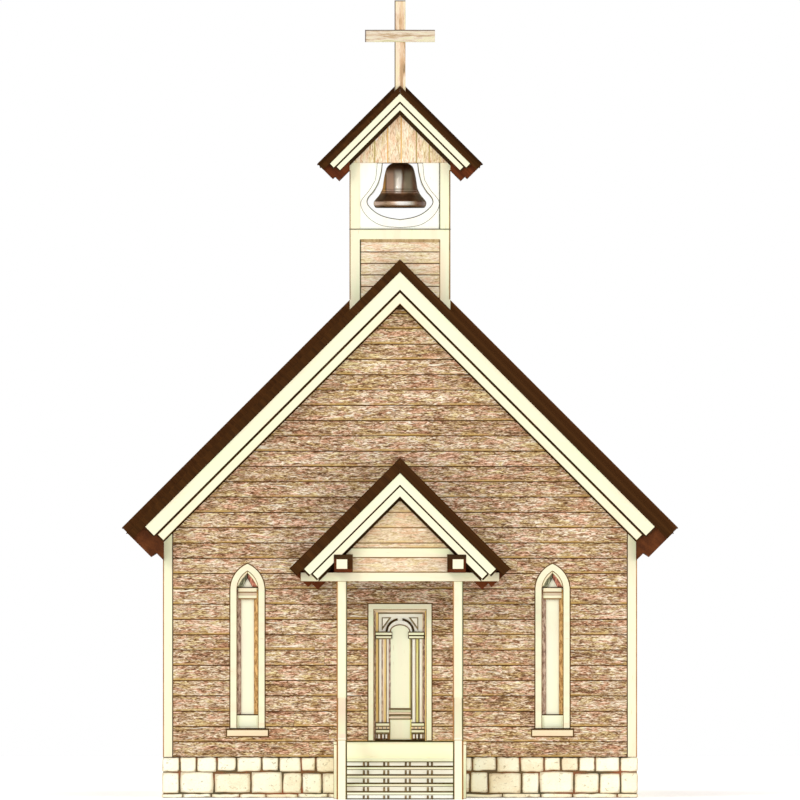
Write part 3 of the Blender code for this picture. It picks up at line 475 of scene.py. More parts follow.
class Piece:
    """Boards and blocks gathered into one mesh, each a closed shape with its own grain."""

    def __init__(self, name):
        self.name = name
        self.bm = bmesh.new()
        self.grain = self.bm.verts.layers.float_vector.new("grain")
        self.tone = self.bm.verts.layers.float.new("tone")
        self.chance = Random(name)

    def add(self, outline, depth, place=FRONT_FACE, finish=0, along=(1, 0), ease=0.0, edge=None,
            foot=None, both=False, arris=0.0):
        """Extrudes (u, v) points from depth[0] to depth[1]. The grain runs along a direction in the
        outline, along the depth if along is None, or down both sides of a gable if along is
        "rake". foot is the v that the third coordinate is measured from, in place of the depth.
        ease is the chamfer of the front, or of both ends, which takes the edge finish, as sides
        shorter than arris do."""
        if area_of(outline) < 0:
            outline = outline[::-1]
        low, high = depth
        rings = [(outline, low), (outline, high)]
        if ease and both:
            rings = [(inset(outline, ease), low), (outline, low + ease)]
            rings += [(outline, high - ease), (inset(outline, ease), high)]
        elif ease:
            rings = [(outline, low), (outline, high - ease), (inset(outline, ease), high)]
        shift = Vector((self.chance.uniform(0, 60), self.chance.uniform(0, 60), 0))
        tone = self.chance.random()
        loops = []
        for points, level in rings:
            loop = []
            for u, v in points:
                w = level(u, v) if callable(level) else level
                vert = self.bm.verts.new(place @ Vector((u, v, w)))
                if along is None:
                    run, cross = w, u + v
                elif along == "rake":
                    run, cross = (v - abs(u)) / ROOT2, (v + abs(u)) / ROOT2
                else:
                    run, cross = u * along[0] + v * along[1], v * along[0] - u * along[1]
                third = w if foot is None else v - foot
                vert[self.grain] = Vector((run, cross, third)) + shift
                vert[self.tone] = tone
                loop.append(vert)
            loops.append(loop)
        edge = finish if edge is None else edge
        self.bm.faces.new(loops[0][::-1]).material_index = finish
        self.bm.faces.new(loops[-1]).material_index = finish
        for i, (lower, upper) in enumerate(zip(loops, loops[1:])):
            band = edge if ease and (i == len(loops) - 2 or both and i == 0) else finish
            for j in range(len(lower)):
                k = (j + 1) % len(lower)
                quad = self.bm.faces.new((lower[j], lower[k], upper[k], upper[j]))
                short = (Vector(outline[j]) - Vector(outline[k])).length < arris
                quad.material_index = edge if short else band

    def board(self, u0, u1, v0, v1, *rest, **options):
        """Extrudes a rectangle, with what add takes after the outline."""
        self.add(rectangle(u0, u1, v0, v1), *rest, **options)

    def turn(self, profile, centre, steps):
        """Spins a closed (radius, z) profile that starts and ends on the axis."""
        rings = []
        for r, z in profile:
            count = 1 if r < 1e-6 else steps
            ring = []
            for i in range(count):
                a = 2 * pi * i / steps
                vert = self.bm.verts.new((centre[0] + r * cos(a), centre[1] + r * sin(a), z))
                vert[self.grain] = Vector((a * 0.3, z, r))
                ring.append(vert)
            rings.append(ring)
        for lower, upper in zip(rings, rings[1:]):
            for i in range(steps):
                k = (i + 1) % steps
                corners = [lower[i % len(lower)], lower[k % len(lower)]]
                corners += [upper[k % len(upper)], upper[i % len(upper)]]
                face = self.bm.faces.new(list(dict.fromkeys(corners)))
                face.smooth = True

    def made(self, *finishes, body="building", slot="cream_paint", replaces=()):
        """Turns the gathered shapes into an object that rides on its body."""
        mesh = bpy.data.meshes.new(self.name)
        bmesh.ops.recalc_face_normals(self.bm, faces=self.bm.faces)
        self.bm.to_mesh(mesh)
        self.bm.free()
        for finish in finishes:
            mesh.materials.append(finish)
        obj = bpy.data.objects.new(self.name, mesh)
        scene.collection.objects.link(obj)
        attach(obj, body)
        if replaces:
            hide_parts(*replaces)
        print(self.name, len(mesh.polygons), "faces")
        return obj


# %% [markdown]
# ## Clapboards
#
# The walls are boarded with wide clapboards that show 245 mm each: thick at the lower edge, thin at
# the top. The solid wall behind them is the sheathing, stained dark as painted shade, so a board
# that stops a little short of its neighbour or of a casing leaves a dark seam: a real gap, darkened
# by the painted shade behind it. A course is cut by whatever stands in it: the outline of each
# opening is given as half widths at rising heights, and the course is split by it, or notched where
# the opening starts or ends inside the course.

# %% Courses
EXPOSURE = 0.245
SEAM = 0.011
LONGEST_BOARD, JOINT_HALF = 3.6, 0.0012
WALL_X = 3.755
BACK_Y = 6.655
FOOTING_TOP = 0.65


def clipped(profile, v0, v1):
    """The part of a rising profile of (half width, v) that lies between two heights."""
    part = []
    for (h0, a), (h1, b) in zip(profile, profile[1:]):
        for level in (a, b, v0, v1):
            if not (max(a, v0) - 1e-9 <= level <= min(b, v1) + 1e-9):
                continue
            share = (level - a) / (b - a) if b > a else float(level == b and part != [])
            point = (h0 + (h1 - h0) * share, level)
            part.append(point)
    return sorted(set(part), key=lambda p: p[1])


def notched(v0, v1, left, right, holes, kinks=()):
    """The outlines that are left of a course between v0 and v1."""
    levels = [v0, *[k for k in kinks if v0 < k < v1], v1]
    start = [(left(v), v) for v in levels]
    below, above, outlines = [], [], []

    def close(wall):
        outlines.append([start[0], *below, *wall, *above[::-1], *start[:0:-1]])

    for centre, profile in sorted(holes, key=lambda h: h[0]):
        cut = clipped(profile, v0, v1)
        if len(cut) < 2 or cut[-1][1] - cut[0][1] < 1e-6:
            continue
        near, far = [(centre - h, v) for h, v in cut], [(centre + h, v) for h, v in cut]
        whole = cut[0][1] < v0 + 1e-6, cut[-1][1] > v1 - 1e-6
        if all(whole):
            close(near)
            start, below, above = far, [], []
        elif whole[0]:
            below += near + [p for p in far[::-1] if p != near[-1]]
        elif whole[1]:
            above += near[::-1] + far
    close([(right(v), v) for v in levels])
    return [o for o in outlines if abs(area_of(o)) > 2e-4]


def clad(
    piece, place, span, left, right, holes=(), kinks=(), show=EXPOSURE, butt=0.022, thin=0.012,
):
    """Lays courses of boards from span[0] up to span[1]; long ones are pieced from two or three."""
    level = span[0]
    while level < span[1] - 0.01:
        v0, v1 = level, min(level + show - 0.016, span[1])
        seams = list(holes)
        run = right(v0) - left(v0)
        joints = int(run // LONGEST_BOARD)
        for i in range(joints):
            u = left(v0) + run * (i + 1) / (joints + 1) + piece.chance.uniform(-0.9, 0.9)
            if all(abs(u - c) > 0.5 for c, _ in holes):
                seams.append((u, [(JOINT_HALF, v0 - 1), (JOINT_HALF, v1 + 1)]))

        def front(u, v, foot=v0):
            return butt - (butt - thin) * (v - foot) / show
        for outline in notched(v0, v1, left, right, seams, kinks):
            piece.add(outline, (0.0004, front), place, foot=v0)
        level += show


# %% Outlines of windows and door
SPRING_Z = 3.33
ARC_SHIFT = 0.175
CASING_HALF = 0.28
LIGHT_HALF = 0.17
SILL = (0.979, 1.102)
SILL_HALF = 0.334
WINDOW_XS = (-2.443, 2.443)
WINDOW_YS = (-2.145, 1.155, 4.455)


def arc(half, steps=12):
    """The right-hand arc of a lancet from its springing to its point, as (half width, z)."""
    radius = half + ARC_SHIFT
    reach = atan2(sqrt(radius**2 - ARC_SHIFT**2), ARC_SHIFT)
    angles = [reach * i / steps for i in range(steps + 1)]
    points = [(radius * cos(a) - ARC_SHIFT, SPRING_Z + radius * sin(a)) for a in angles]
    return points[:-1] + [(0.0, points[-1][1])]


def lancet(half, bottom):
    right = arc(half)
    return [(-half, bottom), (half, bottom), *right, *flipped(right[-2::-1])]


def window_gap(centre):
    half = CASING_HALF + SEAM
    sill_half = SILL_HALF + SEAM
    profile = [(sill_half, SILL[0] - SEAM), (sill_half, SILL[1]), (half, SILL[1] + 0.0001)]
    return (centre, [*profile, *arc(half)])


DOOR_GAP = (0.0, [(0.511 + SEAM, 0.4), (0.511 + SEAM, 3.107 + SEAM), (0.0, 3.1072 + SEAM)])

# %% [markdown]
# The front is boarded in one go from the footing to the gable, between the corner boards and, above
# them, between the sloping eaves. The sides stop at the frieze. The back has a single window.

# %% Board the nave
CORNER_INNER = 3.642
RAKE_PEAK = 8.78 - 0.626 * sqrt(2)


def nave_right(v):
    return min(CORNER_INNER - SEAM, RAKE_PEAK - v - SEAM)


def board_the_nave():
    kink = RAKE_PEAK - CORNER_INNER
    gable = (FOOTING_TOP + 0.006, RAKE_PEAK - 0.08)

    def mirror(v):
        return -nave_right(v)
    front = Piece("front_clapboards")
    holes = [window_gap(x) for x in WINDOW_XS] + [DOOR_GAP]
    clad(front, facing(0, y=FRONT_Y), gable, mirror, nave_right, holes, (kink,))
    front.made(brown_boards, slot="brown_siding")
    back = Piece("back_clapboards")
    clad(back, facing(180, y=BACK_Y), gable, mirror, nave_right, [window_gap(0)], (kink,))
    back.made(brown_boards, slot="brown_siding")
    inner = (FRONT_Y + 0.13 + SEAM, BACK_Y - 0.13 - SEAM)
    side_top = 3.762 - SEAM
    for word, turn, x, ends in (
        ("right", 90, WALL_X, inner), ("left", -90, -WALL_X, (-inner[1], -inner[0])),
    ):
        side = Piece(word + "_clapboards")
        holes = [window_gap(y if turn > 0 else -y) for y in WINDOW_YS]
        span = (gable[0], side_top)
        clad(side, facing(turn, x=x), span, lambda v: ends[0], lambda v: ends[1], holes)
        side.made(brown_boards, slot="brown_siding")


board_the_nave()

# %% [markdown]
# ## Shingled roofs
#
# A sawn shingle is a thin wedge. Each course covers the tops of the one below, so only the butts
# show, in rows of uneven widths and slightly uneven heights. The shingles are laid one by one on a
# core that is a little thinner than the solid roof, so that their tops come out at its surface. As
# on the real roof, the field stands above a lower verge strip at each gable.

# %% Lay shingles
ROOT2 = sqrt(2)
MAIN_SPAN, MAIN_RIDGE = 4.455, 8.78
SHINGLE_LIFT = 0.0185


def slope_face(side, span, ridge, depth=0.0):
    """The top of a 45 degree slope, at a depth below it: v runs up from the eave, w out of it."""
    out = Vector((side, 0, 1)) / ROOT2
    up = Vector((-side, 0, 1)) / ROOT2
    return on_axes((0, side, 0), up, out, Vector((side * span, 0, ridge - span)) - out * depth)


def slope_point(span, ridge, s, n):
    """A point of the left slope in X and Z, s up from the eave and n below the surface."""
    return (-span + (s + n) / ROOT2, ridge - span + (s - n) / ROOT2)


def shingle_field(piece, face, us, vs, show, widths, skip=lambda p: False):
    """Rows of shingles over a rectangle of a slope, each a closed wedge."""
    count = 0
    v = vs[0] - 0.012
    while v < vs[1] - 0.02:
        u = us[0] - piece.chance.uniform(0, widths[0] * 0.8)
        while u < us[1]:
            wide = piece.chance.uniform(*widths)
            u0, u1 = max(u, us[0]), min(u + wide - 0.004, us[1])
            u += wide
            top = min(v + show + 0.02, vs[1])
            if u1 - u0 < 0.02 or skip(face @ Vector(((u0 + u1) / 2, v + show / 2, 0))):
                continue
            butt = v + piece.chance.uniform(-0.006, 0.006)
            high = -piece.chance.uniform(0.001, 0.004)

            def tops(a, b, butt=butt, high=high, top=top):
                return high - (SHINGLE_LIFT - 0.001 + high) * (b - butt) / (top - butt)
            piece.board(u0, u1, butt, top, (-SHINGLE_LIFT, tops), face, along=(0, 1))
            count += 1
        v += show
    return count


def core_section(side, span, ridge, top, bottom, eave, gap=0.0):
    """The section of a roof core between two depths, mitred at the ridge, in X and Z."""
    ends = [(eave, top), (eave, bottom)]
    ends += [((span - gap) * ROOT2 - n, n) for n in (bottom, top)]
    points = [slope_point(span, ridge, s, n) for s, n in ends]
    return flipped(points) if side > 0 else points


def lengthways(outline, y0, y1):
    """An outline in X and Z and the depths that carry it from y0 to y1, out of the front face."""
    return outline, (-y1, -y0)


# %% Roof of the nave
TOWER_HALF = 0.806
TOWER_YS = (-4.295, -2.683)
MAIN_RAISED, MAIN_DEPTH = 0.112, 0.25
MAIN_VERGE_YS = (-4.795, 7.105)
MAIN_FIELD_YS = (-4.1317, 6.4417)
CAP_THICK, VERGE_WIDE = 0.012, 0.034


def under_tower(point):
    return abs(point.x) < TOWER_HALF - 0.05 and TOWER_YS[0] + 0.05 < point.y < TOWER_YS[1] - 0.05


def cap_ridge(piece, side, ridge, y0, y1, wide):
    """Lays a ridge board on one slope, up to the mitre with the other."""
    low = ridge - wide
    outline = [(0.0, ridge), (-wide, low), (-wide, low + CAP_THICK), (0.0, ridge + CAP_THICK)]
    outline = flipped(outline) if side > 0 else outline
    piece.add(*lengthways(outline, y0, y1), finish=1, along=None)


def verge_strips(piece, side, span, ridge, depth, ys, below=SHINGLE_LIFT, finish=1):
    """Straight strips that close the ends of the shingle courses at both verges."""
    section = core_section(side, span, ridge, depth, depth + below, 0.0, 0.0003)
    inner = ys[0] + VERGE_WIDE, ys[1] - VERGE_WIDE
    for y0, y1 in ((ys[0], inner[0]), (inner[1], ys[1])):
        piece.add(*lengthways(section, y0, y1), finish=finish, along=None)
    return inner


def lay_raised_roof(
    roof, side, span, ridge, raised, deep, field_deep, ys, field_ys, show, widths, caps,
    gap=0.0, end_finish=1, boxes=(), skip=lambda p: False,
):
    """A slope whose field stands above a lower strip at each verge; returns its shingles."""
    core = core_section(side, span, ridge, raised + SHINGLE_LIFT, deep, 0.0, gap)
    roof.add(*lengthways(core, *ys), finish=1, along=None)
    field = core_section(side, span, ridge, SHINGLE_LIFT, field_deep, 0.002, 0.002)
    inner = verge_strips(roof, side, span, ridge, 0.0, field_ys, raised, end_finish)
    roof.add(*lengthways(field, *inner), finish=1, along=None)
    for outline, y0, y1 in boxes:
        roof.add(*lengthways(outline, y0, y1), finish=2, along=None)
    high, low = slope_face(side, span, ridge), slope_face(side, span, ridge, raised)
    long = span * ROOT2
    us = mirrored(side, *inner)
    count = shingle_field(roof, high, us, (0.002, long), show, widths, skip)
    ends = verge_strips(roof, side, span, ridge, raised, ys)
    for cap in caps:
        cap_ridge(roof, side, *cap)
    for pair in ((ends[0], field_ys[0]), (field_ys[1], ends[1])):
        us = mirrored(side, *pair)
        count += shingle_field(roof, low, us, (0.0, long - raised), show, widths, skip)
    return count


def roof_the_nave():
    low_ridge = MAIN_RIDGE - MAIN_RAISED * ROOT2
    caps = (
        (MAIN_RIDGE - 0.004, TOWER_YS[1] + 0.03, MAIN_FIELD_YS[1], 0.11),
        (low_ridge - 0.004, MAIN_FIELD_YS[1] + 0.002, MAIN_VERGE_YS[1] - 0.004, 0.1),
    )
    for side, word in ((-1, "left"), (1, "right")):
        roof = Piece(f"nave_roof_{word}")
        count = lay_raised_roof(
            roof, side, MAIN_SPAN, MAIN_RIDGE, MAIN_RAISED, MAIN_DEPTH, 0.2, MAIN_VERGE_YS,
            MAIN_FIELD_YS, 0.15, (0.1, 0.21), caps, end_finish=2, skip=under_tower,
        )
        roof.made(
            shingles, verge_brown, field_brown, slot="dark_roofing", replaces=[f"roof_{word}_slope"]
        )
        print(count, "shingles on the", word)


roof_the_nave()

# %% [markdown]
# ## Rubble footing
#
# The footing is laid in two courses of roughly squared stones, the lower ones larger, on a thin
# levelling course at the ground. A stone is a box whose faces are divided, rounded off towards its
# edges, and pushed in and out by noise, so no two are alike. The noise is seeded, so that they come
# out the same each time. The mortar stands back between them, which makes the dark, wandering
# joints.

# %% Stone and mortar
def stone_finish():
    f = Finish("pale_rubble_stone")
    place = f.place()
    wide = f.cloud(place, (2.6, 2.6, 2.6), 3.0)
    grit = f.cloud(place, (38.0, 38.0, 38.0), 6.0)
    pits = f.cloud(place, (16.0, 16.0, 22.0), 4.0, 0.8)
    colour = f.ramp(
        wide * 0.5 + grit * 0.3 + f.tone() * 0.2, (0.3, tint(240, 222, 186)),
        (0.46, tint(252, 244, 214)), (0.6, tint(255, 252, 228)), (0.74, tint(246, 250, 232)),
    )
    colour = f.mix(f.step(pits, 0.6, 0.7) * 0.6, colour, tint(176, 156, 112))
    rim = f.part(f.grain(), 0)
    colour = f.mix(f.step(rim, 0.82, 1.0) * 0.5, colour, tint(190, 160, 116))
    relief = f.bump(grit * 0.6 + pits * 0.4, 0.6, 0.01)
    return f.apply(Base_Color=colour, Roughness=0.78 + grit * 0.2, Normal=relief)


def mortar_finish():
    f = Finish("brown_mortar")
    place = f.place()
    grit = f.cloud(place, (60.0, 60.0, 60.0), 5.0)
    wide = f.cloud(place, (1.8, 1.8, 5.0), 2.0)
    colour = f.ramp(
        wide * 0.7 + grit * 0.3, (0.38, tint(80, 72, 50)), (0.5, tint(104, 82, 50)),
        (0.62, tint(142, 82, 50)),
    )
    return f.apply(Base_Color=colour, Roughness=0.92 + grit * 0.06, Normal=f.bump(grit, 0.5, 0.006))


def grid_box(bm, cells):
    """A box from -1 to 1 whose faces are divided into cells; returns its points."""
    points = {}

    def point(key):
        if key not in points:
            points[key] = bm.verts.new([2 * k / n - 1 for k, n in zip(key, cells)])
        return points[key]
    for axis in range(3):
        a, b = [i for i in range(3) if i != axis]
        for side in (0, cells[axis]):
            for i in range(cells[a]):
                for j in range(cells[b]):
                    keys = []
                    for di, dj in ((0, 0), (1, 0), (1, 1), (0, 1)):
                        key = [0, 0, 0]
                        key[axis], key[a], key[b] = side, i + di, j + dj
                        keys.append(tuple(key))
                    bm.faces.new([point(k) for k in keys]).smooth = True
    return list(points.values())


def add_stone(piece, face, u0, u1, v0, v1, deep):
    """A rounded, uneven stone that fills a rectangle of a face and goes so deep behind it."""
    half = Vector(((u1 - u0) / 2, (v1 - v0) / 2, deep / 2))
    centre = Vector(((u0 + u1) / 2, (v0 + v1) / 2, -deep / 2))
    tone = piece.chance.random()
    seed = Vector([piece.chance.uniform(0, 50) for _ in range(3)])
    ease = min(0.026, half.x * 0.45, half.y * 0.45)
    for v in grid_box(piece.bm, (7, 5, 4)):
        rim = max(abs(v.co.x), abs(v.co.y))
        p = Vector([c * h for c, h in zip(v.co, half)])
        core = Vector([max(ease - h, min(h - ease, c)) for h, c in zip(half, p)])
        over = p - core
        if over.length > 1e-6:
            p = core + over.normalized() * min(over.length, ease)
        wander = noise.noise_vector(seed + p * 7.0) * 0.011
        wander += noise.noise_vector(seed + p * 26.0) * 0.004
        p += Vector((wander.x, wander.y, min(0.0, wander.z * 1.3 - 0.003)))
        v.co = face @ (centre + p)
        v.co.z = max(v.co.z, 0.0)
        v[piece.grain] = Vector((rim, 0, 0))
        v[piece.tone] = tone


# %% [markdown]
# Each course draws the widths of its stones and stretches them to fill the wall between the corner
# stones. A ring of mortar stands behind them, and a dark cap covers the top of the footing.

# %% Lay the footing
FOOT_X, FOOT_YS = 3.81, (-4.4, 6.71)
COURSES = ((0.0, 0.062, 0.45, 0.95), (0.062, 0.408, 0.27, 0.6), (0.408, FOOTING_TOP, 0.24, 0.44))
QUOIN_SHARE, STONE_DEEP = 0.72, 0.16
JOINT = 0.008
BED = JOINT * 0.6
MORTAR_BACK, CAP_OUT = 0.02, 0.03


def stone_widths(chance, length, low, high):
    """Widths of a run of stones that add up to the length."""
    widths = []
    while sum(widths) < length:
        widths.append(chance.uniform(low, high))
    return [w * (length / sum(widths)) for w in widths]


def ring_plan(x, y0, y1, wide):
    """The plan of a ring of masonry as four blocks: front, back, left and right."""
    return (
        (-x, x, y0, y0 + wide), (-x, x, y1 - wide, y1),
        (-x, wide - x, y0 + wide, y1 - wide), (x - wide, x, y0 + wide, y1 - wide),
    )


def lay_footing():
    noise.seed_set(11)
    stones = Piece("rubble_footing")
    chance = Random("footing")
    mid_y = sum(FOOT_YS) / 2
    half_y = (FOOT_YS[1] - FOOT_YS[0]) / 2
    faces = (
        (facing(0, y=FOOT_YS[0]), FOOT_X), (facing(180, y=FOOT_YS[1]), FOOT_X),
        (facing(90, x=FOOT_X, y=mid_y), half_y), (facing(-90, x=-FOOT_X, y=mid_y), half_y),
    )
    count = 0
    for v0, v1, narrow, broad in COURSES:
        corner = chance.uniform(0.26, 0.34)
        uneven = min(1.0, (v1 - v0) * 4)
        for index, (face, half) in enumerate(faces):
            quoin = corner if index < 2 else corner * QUOIN_SHARE
            u = quoin - half
            for wide in stone_widths(chance, 2 * (half - quoin), narrow, broad):
                top = v1 if v1 == FOOTING_TOP else v1 + chance.uniform(-0.018, 0.016) * uneven
                bottom = v0 if v0 == 0 else v0 + chance.uniform(-0.004, 0.02) * uneven
                ends = u + JOINT, u + wide - JOINT
                add_stone(stones, face, *ends, bottom + BED, top - BED, STONE_DEEP)
                u += wide
                count += 1
        for side in (-1, 1):
            for face, _ in faces[:2]:
                ends = mirrored(side, FOOT_X, FOOT_X - corner + JOINT)
                add_stone(stones, face, *ends, v0 + BED, v1 - BED, corner * QUOIN_SHARE - JOINT)
                count += 1
    low, high = FOOT_YS[0] + MORTAR_BACK, FOOT_YS[1] - MORTAR_BACK
    for x0, x1, y0, y1 in ring_plan(FOOT_X - MORTAR_BACK, low, high, 0.4):
        stones.board(x0, x1, 0.0, FOOTING_TOP - 0.012, (-y1, -y0), finish=1)
    low, high = FRONT_Y - CAP_OUT, BACK_Y + CAP_OUT
    for x0, x1, y0, y1 in ring_plan(WALL_X + CAP_OUT, low, high, 0.1 + CAP_OUT):
        stones.board(x0, x1, FOOTING_TOP - 0.018, FOOTING_TOP, (-y1, -y0), finish=2)
    stones.made(
        stone_finish(), mortar_finish(), bead_brown,
        slot="pale_stone", replaces=["stone_foundation"],
    )
    print(count, "stones")


lay_footing()

# %% [markdown]
# ## Lancet windows
#
# A lancet window is a tall light under a pointed arch. The cream casing and lining are one deep
# frame. Inside it stand two stiles left in brown wood, a small panel at the foot, a stepped
# transom, and two raking bars that leave a triangle of glass in the head. All nine windows are the
# same joinery, but for a thinner sill on the sides, so two meshes are made and set into the walls.

# %% Window finishes
def old_glass():
    f = Finish("cream_window_glass")
    place = f.place()
    wave = f.cloud(place, (1.6, 1.6, 0.7), 3.0, 0.6)
    seeds = f.cloud(place, (28.0, 28.0, 10.0), 2.0)
    cream_tints = ((255, 247, 222), (255, 252, 223), (252, 255, 223))
    colour = f.ramp(wave, *shades(cream_tints, (0.35, 0.5, 0.66)))
    return f.apply(
        Base_Color=colour, Roughness=0.12 + wave * 0.12, Coat_Weight=0.4 + wave * 0.3,
        Normal=f.bump(wave * 0.8 + seeds * 0.2, 0.12, 0.004),
    )


glass = old_glass()
stile_left = mottled("purple_brown_stile", (112, 82, 66), (168, 136, 118), (214, 188, 168))
stile_right = mottled("orange_brown_stile", (140, 90, 28), (194, 148, 84), (236, 190, 122))
# A paler copy of the cream for the panels deep in the window and door recesses: painted light
# against their shade.
panel_cream_painted_light = cream_paint("panel_cream_with_painted_light", (255, 255, 224), (255, 252, 222), (252, 255, 224))
bar_olive = mottled("olive_window_bar", (86, 86, 60), (128, 128, 98), (184, 184, 152))
bar_red = mottled("red_window_bar", (108, 52, 30), (164, 94, 70), (224, 148, 122))
pink_cream = cream_paint("pink_cream_paint", (214, 188, 162), (222, 188, 166), (206, 190, 162))
sill_cream = cream_paint("weathered_sill_paint", (234, 218, 180), (238, 212, 176), (230, 220, 180))

# %% Window joinery
LIGHT_FOOT, RAKE_FOOT = 1.104, 3.3712
FIT_HALF, FIT_BACK = 0.1695, -0.139


def ring(half_out, half_in, bottom):
    """A lancet band as one outline, open at the bottom."""
    (first, *outer), (last, *inner) = lancet(half_out, bottom), lancet(half_in, bottom)
    return [*outer, first, last, *inner[::-1]]


def window_mesh(name, sill_out):
    w = Piece(name)
    cream_, glass_, left_, right_, dark_, olive_, red_, pink_, soft_, sill_, panel_ = range(11)
    w.add(ring(CASING_HALF, LIGHT_HALF, SILL[1]), (0.0005, 0.03), ease=0.008, edge=soft_)
    w.add(ring(0.1995, LIGHT_HALF, SILL[1]), (-0.199, 0.0))
    w.add(lancet(LIGHT_HALF - 0.0005, LIGHT_FOOT), (-0.148, -0.1405), finish=glass_)
    upright = dict(along=(0, 1), edge=soft_)
    for side, finish in ((-1, left_), (1, right_)):
        u = mirrored(side, 0.1025, FIT_HALF)
        w.board(*u, LIGHT_FOOT, SPRING_Z, (-0.14, -0.099), finish=finish, ease=0.006, **upright)

    def bars(*rows):
        """Each row: half width, lower and upper edge, back, front, finish, ease, edge finish."""
        for half, v0, v1, back, front, finish, ease, edge in rows:
            w.board(-half, half, v0, v1, (back, front), finish=finish, ease=ease, edge=edge)
    bars(
        (FIT_HALF, LIGHT_FOOT, 1.318, FIT_BACK, -0.075, panel_, 0.003, soft_),
        (FIT_HALF, 1.318, 1.334, FIT_BACK, -0.097, dark_, 0.0, None),
        (0.15, 1.14, 1.29, -0.075, -0.071, panel_, 0.002, pink_),
        (0.147, 3.172, 3.194, FIT_BACK, -0.09, soft_, 0.003, None),
        (0.147, 3.194, 3.236, FIT_BACK, -0.078, cream_, 0.003, None),
        (0.147, 3.236, 3.28, FIT_BACK, -0.088, pink_, 0.003, None),
        (0.147, 3.28, 3.298, FIT_BACK, -0.084, soft_, 0.003, None),
        (0.147, 3.298, 3.356, FIT_BACK, -0.078, cream_, 0.003, None),
        (0.166, 3.356, 3.371, FIT_BACK, -0.092, dark_, 0.003, None),
    )
    inner_arc = arc(LIGHT_HALF)
    for side, finish in ((-1, olive_), (1, red_)):
        head = [(side * h, v) for h, v in inner_arc if v > 3.371]
        lining = [(side * 0.166, RAKE_FOOT), *head, (0.0, 3.596)]
        lining += [(side * 0.084, 3.498), (side * 0.146, 3.392)]
        w.add(lining, (FIT_BACK, -0.012), ease=0.004, **upright)
        rake = [(side * 0.079, RAKE_FOOT), (side * 0.165, RAKE_FOOT), *head, (0.0, 3.512)]
        w.add(rake, (FIT_BACK, -0.094), finish=finish, ease=0.006, edge=dark_, along=(0, 1))
    bars(
        (SILL_HALF, SILL[0], SILL[1] - 0.013, 0.0005, sill_out, sill_, 0.01, soft_),
        (SILL_HALF, SILL[1] - 0.012, SILL[1], 0.0005, sill_out - 0.008, dark_, 0.0, None),
        (CASING_HALF + 0.01, SILL[1] + 0.0004, SILL[1] + 0.011, 0.0005, 0.034, dark_, 0.0, None),
    )
    return w


def set_windows():
    finishes = (
        cream, glass, stile_left, stile_right, bead_brown, bar_olive, bar_red, pink_cream,
        soft_brown, sill_cream, panel_cream_painted_light,
    )
    front = zip(("left", "right"), WINDOW_XS)
    spots = [(f"front_window_{n}", x, FRONT_Y, 0, [f"front_pane_{n}"]) for n, x in front]
    for word, side in (("left", -1), ("right", 1)):
        for i, y in enumerate(WINDOW_YS):
            spots.append((f"{word}_window_{i + 1}", side * WALL_X, y, side * 90, []))
    spots.append(("back_window", 0, BACK_Y, 180, ["back_pane"]))
    meshes = {}
    for name, x, y, turn, panes in spots:
        sill_out = 0.034 if turn in (-90, 90) else 0.07
        if sill_out not in meshes:
            obj = window_mesh("lancet_" + name, sill_out).made(*finishes)
            meshes[sill_out] = obj.data
        else:
            obj = bpy.data.objects.new("lancet_" + name, meshes[sill_out])
            scene.collection.objects.link(obj)
        obj.rotation_euler = (0, 0, radians(turn))
        obj.location = (x, y, 0)
        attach(obj, "building")
        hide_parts(name, *panes)


set_windows()

# %% [markdown]
# ## Rake boards
#
# A rake board covers the end of the roof along the gable. Here there are two, the lower one set
# back. A dark bead in the step between them and a dark strip where the soffit meets the wall are
# painted shadow lines. The two halves of each are one outline here, because paint fills the mitre
# at the peak, and the grain is written so that it runs down both slopes.

# %% Rakes of the nave and the bell tower
def rake(span, ridge, top, bottom, eave=None, cut_x=None, notch=()):
    """An inverted V between two depths, square at the eaves or upright at cut_x. Points of notch
    are left out of the lower edge near the eaves."""
    ends = [eave if cut_x is None else (span - cut_x) * ROOT2 - n for n in (top, bottom)]
    low = slope_point(span, ridge, ends[1], bottom)
    left = [*notch, low, slope_point(span, ridge, ends[0], top)]
    return [(0.0, ridge - bottom * ROOT2), *left, (0.0, ridge - top * ROOT2), *flipped(left[::-1])]


def end_strips(piece, place, span, ridge, ns, end, front, wide=0.016):
    """The dark-stained end grain of a rake board, as a thin strip on its lower end."""
    low, high = ns[0] - 0.004, ns[1] + 0.004
    corners = ((end - wide, low), (end - wide, high), (end, high), (end, low))
    strip = [slope_point(span, ridge, s, n) for s, n in corners]
    for outline in (strip, flipped(strip)):
        piece.add(outline, (front - 0.02, front + 0.001), place, 1, "rake")


def add_rakes(piece, place, span, ridge, rows, wide=0.016):
    """Each row: upper and lower depth, lower end, or minus the x of an upright cut, distance out of
    the face, finish, ease and edge finish."""
    for top, bottom, end, depth, finish, ease, edge in rows:
        where = {"cut_x": -end} if end < 0 else {"eave": end}
        outline = rake(span, ridge, top, bottom, **where)
        piece.add(outline, depth, place, finish, "rake", ease, edge)
        if finish == 0 and end > 0:
            end_strips(piece, place, span, ridge, (top, bottom), end, depth[1], wide)


def rake_both_gables(name, ys, span, ridge, rows, finishes, stands_for):
    """Rake boards at the front and the back; {} in a name becomes front or back."""
    for word, turn, y in (("front", 0, ys[0]), ("back", 180, ys[1])):
        rakes = Piece(name.format(word))
        add_rakes(rakes, facing(turn, y=y), span, ridge, rows)
        rakes.made(*finishes, replaces=[stands_for.format(word)])


